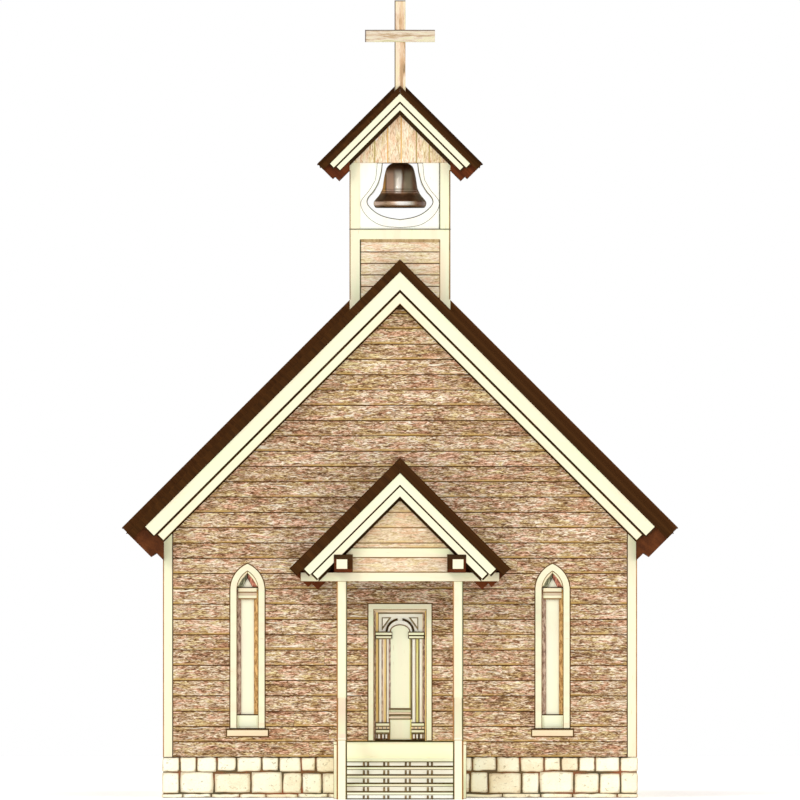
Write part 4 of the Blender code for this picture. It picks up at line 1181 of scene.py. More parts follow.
def rake_the_nave():
    # The second row, the dark bead in the step, and the last row, the dark strip at the wall, are
    # painted shadow lines.
    rows = (
        (0.2503, 0.46, 0.272, (-0.07, -0.02), 0, 0.006, 1),
        (0.4602, 0.4878, 0.3, (-0.068, -0.045), 1, 0.0, None),
        (0.488, 0.616, 0.328, (-0.068, -0.04), 0, 0.006, 2),
        (0.475, 0.606, -3.78, (-0.4497, -0.0682), 0, 0.0, None),
        (0.6062, 0.64, -3.78, (-0.4497, -0.413), 1, 0.004, 1),
    )
    rake_both_gables(
        "{}_rakes", MAIN_VERGE_YS, MAIN_SPAN, MAIN_RIDGE, rows, (cream, bead_brown, soft_brown),
        "{}_barge_boards",
    )


rake_the_nave()

# %% [markdown]
# ## Porch
#
# Two posts carry a wide header; on it lie the plates, whose red sawn ends carry a small cream cap
# with painted shade round it, a dark strip along the top and another down the inner side, and the
# boarded gable with its collar. Arrises are chamfered and keep the dark first coat, which is what
# draws the thin lines round every cream board.

# %% Porch roof and gable
PORCH_SPAN, PORCH_RIDGE = 1.766, 5.442
PORCH_EDGE, PORCH_BACK = -6.095, -4.3753
PORCH_FRONT = -5.745
PORCH_THICK = 0.163
HEADER = (3.467, 3.615)
PLATE_XS, PLATE_TOP = (0.762, 1.051), 3.893
PLAN = on_axes((1, 0, 0), (0, 1, 0), (0, 0, 1), (0, 0, 0))
SIDEWALL = on_axes((0, 1, 0), (0, 0, 1), (1, 0, 0), (0, 0, 0))


def eave_section(side, span, ridge, depth, thick, drop, body, wall_x):
    """The section of a boxed eave: a fascia square to the slope and a body back to the wall."""
    wall_s = (span - wall_x) * ROOT2
    points = [(0, depth), (0, drop), (thick, drop), (thick, min(body, wall_s - thick))]
    if body < wall_s - thick:
        points.append((wall_s - body, body))
    points.append((wall_s - depth, depth))
    outline = [slope_point(span, ridge, s, n) for s, n in points]
    return flipped(outline) if side > 0 else outline


def roof_the_porch():
    for side, word in ((-1, "left"), (1, "right")):
        roof = Piece(f"porch_shingles_{word}")
        core = core_section(side, PORCH_SPAN, PORCH_RIDGE, SHINGLE_LIFT, PORCH_THICK, 0.0, 0.0003)
        roof.add(*lengthways(core, PORCH_EDGE, PORCH_BACK), finish=1, along=None)
        face = slope_face(side, PORCH_SPAN, PORCH_RIDGE)
        y0, _ = verge_strips(roof, side, PORCH_SPAN, PORCH_RIDGE, 0.0, (PORCH_EDGE, PORCH_BACK))
        us = mirrored(side, y0, PORCH_BACK)
        shingle_field(roof, face, us, (0.0, PORCH_SPAN * ROOT2), 0.13, (0.09, 0.17))
        cap_ridge(roof, side, PORCH_RIDGE - 0.006, PORCH_EDGE + 0.004, PORCH_BACK, 0.08)
        ceiling = core_section(side, PORCH_SPAN, PORCH_RIDGE, 0.1635, 0.1755, 1.262, 0.0)
        for i in range(9):
            y = PORCH_FRONT + 0.066 + i * 0.1445
            roof.add(*lengthways(ceiling, y, y + 0.1425), finish=3, along=(0.7, 0.7))
        box = eave_section(side, 1.764, 5.44, 0.143, 0.08, 0.42, 0.56, PLATE_XS[1])
        roof.add(*lengthways(box, PORCH_FRONT + 0.1603, PORCH_BACK - 0.001), finish=2, along=None)
        roof.made(
            shingles, verge_brown, red_brown, white_cream, slot="dark_roofing",
            replaces=[f"porch_roof_{word}"],
        )


def gable_the_porch():
    gable = Piece("porch_gable_boards")
    place = facing(0, y=PORCH_FRONT)
    inner = PLATE_XS[0] - 0.0005
    peak = PORCH_RIDGE - (PORCH_THICK + 0.0005) * ROOT2
    shelf = PLATE_TOP + 0.0005
    right = [(inner, HEADER[1] + 0.0005), (inner, shelf), (peak - shelf, shelf)]
    gable.add([*right, (0.0, peak), *flipped(right[::-1])], (-0.06, 0.0), place, finish=1)
    rake = PORCH_RIDGE - 0.455 * ROOT2
    for v0, v1, reach, butt, thin in (
        (HEADER[1] + 0.012, 3.842, lambda v: inner - 0.008, 0.018, 0.01),
        (4.012, 4.075, lambda v: rake - v, 0.016, 0.014),
        (4.091, rake - 0.05, lambda v: rake - v, 0.018, 0.01),
    ):
        clad(gable, place, (v0, v1), lambda v: -reach(v), reach, butt=butt, thin=thin)
    side = [(inner - 0.002, 3.852), (inner - 0.002, shelf + 0.002)]
    side += [(0.92, shelf + 0.002), (0.81, 4.003)]
    gable.add([*side, *flipped(side[::-1])], (0.0004, 0.03), place, finish=2, ease=0.007, edge=1)
    gable.made(porch_boards, soft_brown, cream, slot="pale_siding", replaces=["porch_gable"])


def rake_the_porch():
    rakes = Piece("porch_rakes")
    place = facing(0, y=PORCH_EDGE)
    # The dark bead in the step and the dark strip under the lower board are painted shadow lines.
    rows = (
        (0.1635, 0.307, 0.155, (-0.06, -0.02), 0, 0.007, 1),
        (0.307, 0.3205, 0.185, (-0.058, -0.041), 1, 0.0, None),
        (0.4395, 0.478, -1.3, (-0.329, -0.3), 1, 0.0, None),
    )
    add_rakes(rakes, place, PORCH_SPAN, PORCH_RIDGE, rows, 0.024)
    foot = PORCH_RIDGE - 0.439 * ROOT2
    shelf, plate_x = PLATE_TOP + 0.0005, PLATE_XS[1] + 0.0005
    notch = [(shelf - foot, shelf), (-plate_x, shelf), (-plate_x, foot - plate_x)]
    outline = rake(PORCH_SPAN, PORCH_RIDGE, 0.3205, 0.439, 0.2, notch=notch)
    rakes.add(outline, (-0.329, -0.035), place, 0, "rake", 0.006, 1)
    end_strips(rakes, place, PORCH_SPAN, PORCH_RIDGE, (0.3205, 0.439), 0.2, -0.035, 0.024)
    rakes.made(cream, bead_brown, replaces=["porch_barge_boards"])


roof_the_porch()
gable_the_porch()
rake_the_porch()

# %% [markdown]
# The header lies across both posts, and a square post is a plain section carried upwards. A bead
# down each side of it, dark on one and orange on the other, gives the thin lines beside the cream.

# %% Header, plates and posts
POST_HALF, POST_X = 0.07, 0.928
stair_brown = mottled("stair_tick_brown", (72, 56, 30), (108, 88, 54), (160, 138, 98))
stair_line = stained("stair_line_brown", (66, 52, 28), (92, 76, 44), (122, 104, 68))
warm_cream = cream_paint("warm_cream_paint", (251, 241, 206), (252, 232, 204), (246, 246, 208))


def side_beads(piece, x, y, zs, finishes):
    """A dark bead down the left and the right side of a square post, close to its front."""
    for side, finish in zip((-1, 1), finishes):
        xs = sorted((x + side * (POST_HALF - 0.001), x + side * (POST_HALF + 0.014)))
        piece.add(eased_rectangle(*xs, y, y + 0.022, 0.003), zs, PLAN, finish, None)


def frame_the_porch():
    beams = Piece("porch_header_and_plates")
    header_ys = (PORCH_FRONT + 0.16, PORCH_FRONT - 0.02)
    beams.board(-1.59, 1.59, *HEADER, (-header_ys[0], -header_ys[1]), ease=0.007, edge=1, both=True)
    for side in (-1, 1):
        x0, x1 = mirrored(side, PLATE_XS[0], PLATE_XS[1])
        ends = (-FRONT_Y + 0.0003, -PORCH_EDGE - 0.012)
        beams.board(x0, x1, HEADER[1] + 0.001, PLATE_TOP, ends, finish=2, along=None)
        # Painted shade on each plate's end: a dark strip along its top and another down its inner
        # side.
        front = (ends[1], ends[1] + 0.004)
        beams.board(x0, x1, 3.832, PLATE_TOP, front, finish=3)
        inner = mirrored(side, PLATE_XS[0], 0.838)
        beams.board(*inner, 3.668, 3.832, front, finish=4, along=(0, 1))
        cap = mirrored(side, 0.842, 1.013)
        beams.board(*cap, 3.672, 3.824, (ends[1], -PORCH_EDGE + 0.01), ease=0.006)
    beams.made(cream, soft_brown, red_brown, bead_brown, verge_brown, replaces=["porch_beams"])
    for side, word in ((-1, "left"), (1, "right")):
        post = Piece(f"porch_post_turned_{word}")
        x = side * POST_X
        x0, x1 = x - POST_HALF, x + POST_HALF
        section = eased_rectangle(x0, x1, PORCH_FRONT, PORCH_FRONT + 0.14, 0.013)
        post.add(section, (0.9003, HEADER[0] - 0.0003), PLAN, along=None, edge=1, arris=0.03)
        side_beads(post, x, PORCH_FRONT + 0.004, (0.9003, HEADER[0] - 0.0003), (2, 3))
        post.made(cream, cream, orange_bead, olive_bead, replaces=[f"porch_post_{word}"])


frame_the_porch()

# %% [markdown]
# ## Platform and stair
#
# The platform has a boarded top, skirts of upright boards at the sides, and a deep fascia in front,
# in a paler cream that is painted light, with a thin dark strip along the deck's front edge as a
# painted shadow line.
# The stair is five planks on four sawn strings, closed by thin risers. Dark nosings draw its close
# horizontal lines, a pair of small cleats stands at each string, and a sole strip ends it.

# %% Platform, stair and rails
PORCH_HALF = 1.062
FLOOR_TOP = 0.9
TREADS, GOING, RISE, TREAD_THICK, TREAD_TOP = 5, 0.27, 0.1315, 0.05, 0.645
STRING_XS = (-0.544, -0.22, 0.125, 0.477)
# A paler copy of the cream for the fascia: painted light that lifts it out of its shade.
fascia_cream_painted_light = cream_paint("fascia_cream_with_painted_light", (252, 249, 214), (254, 247, 212), (249, 252, 211))


def build_platform():
    deck = Piece("porch_platform_boards")
    back = PORCH_BACK
    wide = (back - PORCH_FRONT) / 10
    for i in range(10):
        y = PORCH_FRONT + i * wide
        plank = eased_rectangle(y + 0.002, y + wide - 0.002, 0.866, FLOOR_TOP, 0.004)
        deck.add(plank, (-PORCH_HALF, PORCH_HALF), SIDEWALL, along=None)
    face = facing(0, y=PORCH_FRONT)
    fascia_half = POST_X - POST_HALF - 0.001
    # The last board, a thin dark strip along the deck's front edge, is a painted shadow line.
    for v0, v1, depth, finish in (
        (0.594, 0.866, (-0.04, 0.0), 2), (0.0, 0.592, (-0.045, -0.004), 2),
        (FLOOR_TOP + 0.0002, 0.92, (-0.024, -0.002), 3),
    ):
        deck.board(-fascia_half, fascia_half, v0, v1, depth, face, finish=finish)
    for side, turn in ((-1, -90), (1, 90)):
        near = mirrored(side, fascia_half, PORCH_HALF)
        deck.board(*near, 0.0, 0.864, (-0.05, 0.0), face, along=(0, 1), ease=0.006, edge=1)
        skirt = facing(turn, x=side * (PORCH_HALF - 0.03))
        y0, y1 = PORCH_FRONT + 0.052, FRONT_Y - 0.056
        step = (y1 - y0) / 9
        for i in range(9):
            u = mirrored(side, y0 + i * step + 0.002, y0 + (i + 1) * step - 0.002)
            deck.board(*u, 0.0, 0.864, (0.0, 0.026), skirt, along=(0, 1), ease=0.004, edge=1)
        under = mirrored(side, PORCH_HALF - 0.05, PORCH_HALF - 0.031)
        deck.board(*under, 0.0, 0.864, (-y1, -y0), finish=1)
    deck.made(cream, soft_brown, fascia_cream_painted_light, olive_bead, replaces=["porch_platform"])


def build_stair():
    stair = Piece("stair_treads_and_strings")
    half = POST_X - POST_HALF - 0.003
    tops = [TREAD_TOP - RISE * i for i in range(TREADS)]
    saw = [(PORCH_FRONT - 0.0005, 0.0), (PORCH_FRONT - 0.0005, tops[0] - TREAD_THICK)]
    for i, top in enumerate(tops):
        y = PORCH_FRONT - GOING * (i + 1) + 0.02
        saw.append((y, top - TREAD_THICK - 0.0005))
        if i + 1 < TREADS:
            saw.append((y, tops[i + 1] - TREAD_THICK - 0.0005))
        nose = PORCH_FRONT - GOING * (i + 1)
        back = PORCH_FRONT - 0.0005 if i == 0 else PORCH_FRONT - GOING * i + 0.012
        board = rectangle(-half, half, top - TREAD_THICK, top)
        if i == 0:
            stair.add(board, (-back, -nose), ease=0.003)
            lip = rectangle(-half, half, top - TREAD_THICK - 0.012, top - TREAD_THICK - 0.0003)
            stair.add(lip, (-nose - 0.02, -nose), finish=3)
        else:
            stair.add(board, (-back, -nose), ease=0.01, edge=3)
            nosing = rectangle(-half, half, top + 0.0002, top + 0.017)
            stair.add(nosing, (-nose - 0.014, -nose - 0.0005), finish=3)
        foot = tops[i + 1] + 0.0005 if i + 1 < TREADS else 0.0
        riser = rectangle(-half, half, foot, top - TREAD_THICK - 0.0005)
        stair.add(riser, (-nose - 0.0195, -nose - 0.012), finish=4)
        for x in STRING_XS:
            for cleat in (-0.05, 0.016):
                tick = rectangle(x + cleat, x + cleat + 0.034, foot, top - TREAD_THICK - 0.006)
                stair.add(tick, (-nose - 0.0118, -nose - 0.006), finish=2, along=(0, 1))
    sole = PORCH_FRONT - GOING * TREADS
    stair.board(-half, half, 0.0, 0.018, (-sole - 0.0118, -sole - 0.002), finish=3)
    saw.append((sole + 0.02, 0.0))
    for x in STRING_XS:
        stair.add(saw, (x - 0.03, x + 0.03), SIDEWALL, ease=0.004, both=True)
    stair.made(cream, soft_brown, stair_brown, stair_line, white_cream, replaces=["front_stair"])


def build_rails():
    foot = PORCH_FRONT - TREADS * GOING - 0.01
    for side, word in ((-1, "left"), (1, "right")):
        rail = Piece(f"stair_handrail_{word}")
        x0, x1 = side * POST_X - POST_HALF, side * POST_X + POST_HALF
        section = eased_rectangle(x0, x1, foot, foot + 0.14, 0.012)
        rail.add(section, (0.0, 0.95), PLAN, along=None, ease=0.008, edge=1, arris=0.03)
        side_beads(rail, side * POST_X, foot + 0.004, (0.0, 0.93), (3, 2) if side < 0 else (2, 3))
        low_y, high_y = foot + 0.142, PORCH_FRONT - 0.0004
        slope = (1.616 - 0.98) / (high_y - (foot + 0.01))
        low_z = 0.98 + slope * (low_y - foot - 0.01)
        outline = [(low_y, low_z - 0.08), (high_y, 1.541), (high_y, 1.616), (low_y, low_z)]
        between = x0 + 0.003, x1 - 0.003
        rail.add(outline, between, SIDEWALL, along=(0.9, 0.43), ease=0.008, edge=1, both=True)
        cap = [(foot, 0.9503), (foot + 0.1418, 0.9503), (foot + 0.1418, low_z), (foot + 0.01, 0.98)]
        rail.add(cap, between, SIDEWALL, ease=0.006, edge=1, both=True)
        rail.made(warm_cream, soft_brown, olive_bead, orange_bead, replaces=[f"stair_rail_{word}"])


build_platform()
build_stair()
build_rails()

# %% [markdown]
# ## Bell tower
#
# The tower's frame stays as the solid model has it; what it lacks is the boarding of its base, the
# upright boards of its gables, the trim that follows the bell-shaped openings, and the dark lines
# between posts, deck and panels.

# %% Tower roof and gables
orange_batten = stained("orange_batten", (196, 140, 72), (220, 168, 96), (238, 196, 130))
olive_batten = stained("olive_batten", (150, 132, 72), (186, 166, 104), (214, 198, 142))
line_green = stained("grey_green_line", (58, 55, 34), (80, 76, 50), (106, 100, 70))
TOWER_MID = sum(TOWER_YS) / 2
BELFRY_SPAN, BELFRY_RIDGE = 1.322, 11.478
BELFRY_RAISED, BELFRY_THICK = 0.058, 0.138
BELFRY_YS = (-4.595, -2.383)
DECK = (8.944, 9.104)
CHAMBER_TOP, SIDE_TOP = 10.168, 10.058
POST_WIDE = 0.163


def roof_the_tower():
    field_ys = (BELFRY_YS[0] + 0.22, BELFRY_YS[1] - 0.22)
    box_ys = (BELFRY_YS[0] + 0.0603, BELFRY_YS[1] - 0.0603)
    for side, word in ((-1, "left"), (1, "right")):
        roof = Piece(f"tower_shingles_{word}")
        box = eave_section(side, 1.32, 11.476, 0.118, 0.05, 0.342, 0.438, TOWER_HALF + 0.0003)
        lay_raised_roof(
            roof, side, BELFRY_SPAN, BELFRY_RIDGE, BELFRY_RAISED, BELFRY_THICK, 0.108, BELFRY_YS,
            field_ys, 0.12, (0.08, 0.15), [(BELFRY_RIDGE - 0.004, *field_ys, 0.08)], gap=0.0003,
            boxes=[(box, *box_ys)],
        )
        roof.made(
            shingles, verge_brown, red_brown, slot="dark_roofing", replaces=[f"belfry_roof_{word}"]
        )


def rake_the_tower():
    # The dark bead in the step and the dark strip at the wall are painted shadow lines.
    rows = (
        (0.1383, 0.2365, 0.135, (-0.06, -0.015), 0, 0.006, 1),
        (0.2365, 0.253, 0.16, (-0.058, -0.034), 1, 0.0, None),
        (0.253, 0.336, 0.175, (-0.058, -0.03), 0, 0.006, 1),
        (0.25, 0.33, -0.805, (-0.299, -0.0582), 0, 0.0, None),
        (0.33, 0.389, -0.805, (-0.309, -0.28), 1, 0.0, None),
    )
    rake_both_gables(
        "tower_rakes_{}", BELFRY_YS, BELFRY_SPAN, BELFRY_RIDGE, rows, (cream, bead_brown),
        "belfry_barge_{}",
    )


def tower_sides(back=0.0):
    """The front, back, right and left face of the tower, set back by so much."""
    return (
        facing(0, y=TOWER_YS[0] + back), facing(180, y=TOWER_YS[1] - back),
        facing(90, TOWER_HALF - back, TOWER_MID), facing(-90, back - TOWER_HALF, TOWER_MID),
    )


def board_tower_gables():
    boards = Piece("tower_gable_boards")
    peak = BELFRY_RIDGE - 0.366 * ROOT2
    low = CHAMBER_TOP + 0.002
    reach = peak - low
    joints = (-reach, -0.405, -0.197, 0.02, 0.262, 0.47, reach)
    for face in tower_sides(0.01)[:2]:
        for u0, u1 in zip(joints, joints[1:]):
            u0, u1 = u0 + 0.008, u1 - 0.008
            top = [(0.0, peak)] if u0 < 0 < u1 else []
            outline = [(u0, low), (u1, low), (u1, peak - abs(u1)), *top, (u0, peak - abs(u0))]
            boards.add(outline, (0.0004, 0.0085), face, along=(0, 1), ease=0.002, foot=low - 1)
        for u, finish in zip(joints[1:-1], (2, 1, 1, 2, 2)):
            batten = [(u - 0.009, low), (u + 0.009, low), (u + 0.009, peak - abs(u) - 0.009)]
            batten.append((u - 0.009, peak - abs(u) - 0.009))
            boards.add(batten, (0.0004, 0.0098), face, finish, (0, 1), ease=0.002)
    boards.made(tower_boards, orange_batten, olive_batten, slot="pale_siding")


def board_tower_base():
    boards = Piece("tower_base_boards")
    half = TOWER_HALF - POST_WIDE - 0.008
    show = 0.184
    low = DECK[0] - 0.012 - 6 * show
    top = DECK[0] - 0.038
    peaks = (MAIN_RIDGE - MAIN_RAISED * ROOT2, MAIN_RIDGE, None, None)
    for face, peak in zip(tower_sides(0.0203), peaks):
        holes = [] if peak is None else [(0.0, [(peak - 7.0, 7.0), (0.0, peak)])]
        clad(
            boards, face, (low, top), lambda v: -half, lambda v: half, holes,
            show=show, butt=0.018, thin=0.009,
        )
    boards.made(tower_boards, slot="pale_siding")


roof_the_tower()
rake_the_tower()
board_tower_gables()
board_tower_base()

# %% [markdown]
# The trim round each opening has the outline of a bell. It is drawn as a few points and rounded by
# cutting corners twice, which keeps it smooth without a curve object. Thin strips set into the
# posts and the deck draw the dark lines between them.

# %% Trim of the bell openings
OPENING = (
    (0.277, CHAMBER_TOP), (0.292, 10.02), (0.339, 9.84), (0.42, 9.7), (0.502, 9.618),
    (0.531, 9.536), (0.482, 9.456), (0.358, 9.352), (0.195, 9.291), (0.0, 9.264),
)
TRIM_OUTSIDE = (
    (0.368, CHAMBER_TOP), (0.39, 9.904), (0.427, 9.842), (0.498, 9.718), (0.6, 9.606),
    (0.638, 9.536), (0.621, 9.434), (0.539, 9.31), (0.416, 9.21), (0.272, 9.147), (0.0, 9.128),
)


def smoothed(points, top):
    """The points from the top down, with two rounds of corner cutting."""
    points = [(x, min(z, top)) for x, z in points]
    for _ in range(2):
        cut = [points[0]]
        for (x0, z0), (x1, z1) in zip(points, points[1:]):
            for share in (0.25, 0.75):
                cut.append(((1 - share) * x0 + share * x1, (1 - share) * z0 + share * z1))
        points = cut + [points[-1]]
    return points


deck_tan = stained("deck_underside_tan", (140, 114, 72), (176, 148, 102), (206, 180, 136))


def trim_bell_openings():
    trim = Piece("bell_opening_trim")
    tops = (CHAMBER_TOP - 0.002, CHAMBER_TOP - 0.002, SIDE_TOP, SIDE_TOP)
    for face, top in zip(tower_sides(0.02), tops):
        outer, inner = smoothed(TRIM_OUTSIDE, top), smoothed(OPENING, top)
        bands = [outer[:-1] + flipped(outer[::-1]), inner[:-1] + flipped(inner[::-1])]
        trim.add(bands[0] + bands[1][::-1], (0.0004, 0.014), face, along=(0, 1), ease=0.007, edge=1)
        wider = [(u, min(v, top)) for u, v in inset(bands[1][::-1], -0.013)]
        trim.add(bands[1] + wider, (0.0006, 0.0155), face, 1, (0, 1))
    trim.made(white_cream, line_green)


def line_the_tower():
    lines = Piece("tower_shadow_lines")
    inner = TOWER_HALF - POST_WIDE
    drip, under, bare = DECK[1] + 0.008, DECK[0] - 0.014, 7.98
    wide, edge = TOWER_HALF + 0.004, -TOWER_HALF - 0.003
    for face in tower_sides():
        lines.board(-wide, wide, DECK[1] - 0.006, drip, (-0.019, 0.006), face, finish=1)
        for u0, u1, v0, v1, finish in (
            (inner - 0.014, inner + 0.001, drip, CHAMBER_TOP - 0.002, 1),
            (-inner - 0.001, 0.017 - inner, bare, under, 1),
            (inner - 0.012, inner + 0.001, bare, under, 0),
            (-inner, inner, DECK[0] - 0.046, DECK[0] + 0.001, 2),
            (edge, edge + 0.016, bare, DECK[1] - 0.008, 0),
            (edge, edge + 0.016, drip, 10.05, 0),
        ):
            lines.board(u0, u1, v0, v1, (-0.019, 0.002), face, finish, (0, 1))
    lines.made(soft_brown, line_green, deck_tan)


trim_bell_openings()
line_the_tower()

# %% [markdown]
# ## Cross
#
# The cross is two pale timbers halved together on the ridge. Their grain is bold, so they get a
# finish of their own: wide wandering streaks of tan in nearly white wood, a tan stripe of heartwood
# down the upright, and dark lines along the top and left edges, where the first coat still shows.

# %% Cross
def bleached_timber(name, dull, lines, heart=0.0):
    """Dull is what the colour is multiplied by. Lines lists the edges that keep the dark first
    coat, each as an axis, the edge's place on it and the way out; heart adds a tan stripe."""
    f = Finish(name)
    grain, place = f.grain(), f.place()
    streak = f.cloud(grain, (1.1, 14.0, 6.0), 2.0, 0.7)
    fine = f.cloud(grain, (8.0, 70.0, 30.0), 4.0, 0.8)
    colour = f.ramp(
        streak * 0.68 + fine * 0.32, (0.36, tint(136, 112, 74)), (0.45, tint(206, 170, 124)),
        (0.52, tint(238, 216, 184)), (0.59, tint(240, 226, 178)), (0.68, tint(204, 190, 132)),
    )
    colour = f.mix(1.0, colour, dull, "MULTIPLY")
    x = f.part(place, 0)
    stripe = f.step(x, -0.004, 0.012) * (1 - f.step(x, 0.042, 0.056))
    colour = f.mix(stripe * heart, colour, tint(208, 166, 122))
    for axis, edge, way in lines:
        near = f.step(f.part(place, axis) * way, edge * way - 0.022, edge * way - 0.014)
        colour = f.mix(near * 0.85, colour, tint(86, 68, 60))
    return f.apply(Base_Color=colour, Roughness=0.6 + fine * 0.3, Normal=f.bump(fine, 0.5, 0.004))


CROSS_HALF, CROSS_YS = 0.088, (-4.555, -4.415)
CROSS_TOP, ARM_HALF, ARM_ZS = 12.768, 0.56, (12.1, 12.296)


def raise_cross():
    cross = Piece("timber_cross")
    peak = BELFRY_RIDGE - (BELFRY_RAISED - 0.0004) * ROOT2
    foot = [(CROSS_HALF, peak - CROSS_HALF), (0.0, peak), (-CROSS_HALF, peak - CROSS_HALF)]
    back, front = -CROSS_YS[1], -CROSS_YS[0]
    for z0, z1, low in (
        (ARM_ZS[1], CROSS_TOP, [(CROSS_HALF, ARM_ZS[1]), (-CROSS_HALF, ARM_ZS[1])][::-1]),
        (peak, ARM_ZS[0], foot[::-1]),
    ):
        outline = [*low, (CROSS_HALF, z1), (-CROSS_HALF, z1)]
        cross.add(outline, (back, front - 0.004), along=(0, 1), ease=0.006, both=True)
    cross.add(
        rectangle(-ARM_HALF, ARM_HALF, *ARM_ZS), (back + 0.004, front), finish=2, ease=0.007,
        both=True,
    )
    for x in (-0.045, 0.045):
        for z in (12.155, 12.24):
            peg = [(x + 0.01 * cos(a * pi / 4), z + 0.01 * sin(a * pi / 4)) for a in range(8)]
            cross.add(peg, (front - 0.01, front - 0.0005), finish=1, along=None)
    sides = [(0, -CROSS_HALF, -1), (2, CROSS_TOP, 1)]
    upright = bleached_timber("bleached_cross_timber", tint(246, 244, 250), sides, 0.5)
    sides = [(0, -ARM_HALF, -1), (2, ARM_ZS[1], 1)]
    arm = bleached_timber("mottled_arm_timber", tint(232, 238, 250), sides)
    cross.made(upright, soft_brown, arm, slot="weathered_oak", replaces=["cross"])


raise_cross()

# %% [markdown]
# ## Bell
#
# A bell is a solid of revolution, so it is one profile spun round its axis: crown, shoulder, waist,
# two raised beads above the sound bow, and the lip. Bronze darkens unevenly, with fine turning
# marks, under a thin wax coat that takes the highlights. Over this, painted light and shade lie
# across the waist, gold and rose on one side, a pale painted highlight near the middle and olive on
# the other, and the lip carries a light band with a white painted highlight in it.

# %% Bell, clapper and headstock
CLAPPER_Z = 10.06
BELL_OUTSIDE = (
    (0.0, 10.172), (0.06, 10.1715), (0.1, 10.169), (0.137, 10.16), (0.168, 10.143), (0.196, 10.119),
    (0.215, 10.09), (0.226, 10.062), (0.235, 10.028), (0.248, 9.972), (0.258, 9.915),
    (0.266, 9.862), (0.273, 9.812), (0.28, 9.768), (0.286, 9.747), (0.293, 9.742), (0.296, 9.733),
    (0.293, 9.724), (0.3, 9.716), (0.309, 9.712), (0.312, 9.703), (0.309, 9.694), (0.326, 9.668),
    (0.35, 9.635), (0.378, 9.603), (0.4, 9.576), (0.412, 9.56), (0.42, 9.549), (0.4235, 9.534),
    (0.4238, 9.518), (0.421, 9.5), (0.413, 9.482), (0.404, 9.464), (0.393, 9.452), (0.38, 9.4485),
)
BELL_INSIDE = (
    (0.366, 9.454), (0.361, 9.49), (0.358, 9.525), (0.336, 9.57), (0.315, 9.61), (0.292, 9.655),
    (0.272, 9.7), (0.256, 9.75), (0.243, 9.8), (0.231, 9.86), (0.222, 9.92), (0.213, 9.98),
    (0.205, 10.03), (0.19, 10.072), (0.17, 10.105), (0.135, 10.122), (0.09, 10.13), (0.0, 10.133),
)


def old_bronze():
    f = Finish("bell_bronze_with_painted_light")
    place = f.place()
    x, z = f.part(place, 0), f.part(place, 2)
    bloom = f.cloud(place, (7.0, 7.0, 3.0), 4.0, 0.6)
    marks = f.cloud(place, (0.0, 0.0, 210.0), 3.0)
    colour = f.ramp(
        bloom * 0.7 + marks * 0.3, (0.34, tint(86, 54, 32)), (0.5, tint(118, 78, 50)),
        (0.66, tint(148, 104, 70)),
    )
    # Painted light and shade across the waist, by place from left to right: gold, rose, a pale
    # painted highlight, then olive.
    waist = f.step(z, 9.66, 9.76) * (1 - f.step(z, 9.98, 10.1))
    drift = x + (bloom - 0.5) * 0.05
    gold = waist * (1 - f.step(drift, -0.25, -0.215))
    rose = waist * f.step(drift, -0.235, -0.205) * (1 - f.step(drift, -0.12, -0.06))
    pale = waist * f.step(drift, -0.11, -0.06) * (1 - f.step(drift, 0.0, 0.045))
    olive = waist * f.step(drift, 0.03, 0.1) * (1 - f.step(drift, 0.15, 0.24))
    colour = f.mix(gold * 0.85, colour, tint(255, 186, 84))
    colour = f.mix(rose * 0.85, colour, tint(255, 214, 190))
    colour = f.mix(pale * 0.9, colour, tint(255, 246, 232))
    colour = f.mix(olive * 0.8, colour, tint(176, 166, 142))
    flare = f.step(z, 9.558, 9.576) * (1 - f.step(z, 9.64, 9.68))
    colour = f.mix(flare * 0.55, colour, tint(64, 42, 26))
    # Painted highlight on the lip: a light band, dark on the right, with a white gleam in it.
    lip = f.step(z, 9.484, 9.498) * (1 - f.step(z, 9.546, 9.558))
    colour = f.mix(lip * (1 - f.step(drift, 0.2, 0.3)) * 0.75, colour, tint(236, 200, 172))
    gleam = lip * f.step(drift, -0.12, 0.0) * (1 - f.step(drift, 0.15, 0.26))
    colour = f.mix(gleam * 0.95, colour, tint(255, 250, 244))
    low = 1 - f.step(z, 9.458, 9.474)
    colour = f.mix(low * 0.85, colour, tint(38, 24, 14))
    return f.apply(
        Base_Color=colour, Roughness=0.34 + bloom * 0.16, Metallic=0.35 + bloom * 0.2,
        Coat_Weight=0.3 + bloom * 0.3, Normal=f.bump(marks * 0.7 + bloom * 0.3, 0.15, 0.002),
    )


def forged_iron():
    f = Finish("forged_iron_black")
    place = f.place()
    scale = f.cloud(place, (55.0, 55.0, 40.0), 5.0, 0.5)
    rust = f.cloud(place, (14.0, 14.0, 9.0), 4.0)
    colour = f.ramp(scale, (0.35, tint(40, 36, 33)), (0.6, tint(70, 64, 58)))
    colour = f.mix(f.step(rust, 0.58, 0.7) * 0.5, colour, tint(110, 64, 38))
    return f.apply(
        Base_Color=colour, Roughness=0.42 + scale * 0.3, Normal=f.bump(scale, 0.5, 0.003),
        Metallic=0.85 - f.step(rust, 0.58, 0.7) * 0.5,
    )


iron = forged_iron()


def rounded(centre, radius, steps=12):
    return [
        (centre[0] + radius * cos(2 * pi * i / steps), centre[1] + radius * sin(2 * pi * i / steps))
        for i in range(steps)
    ]


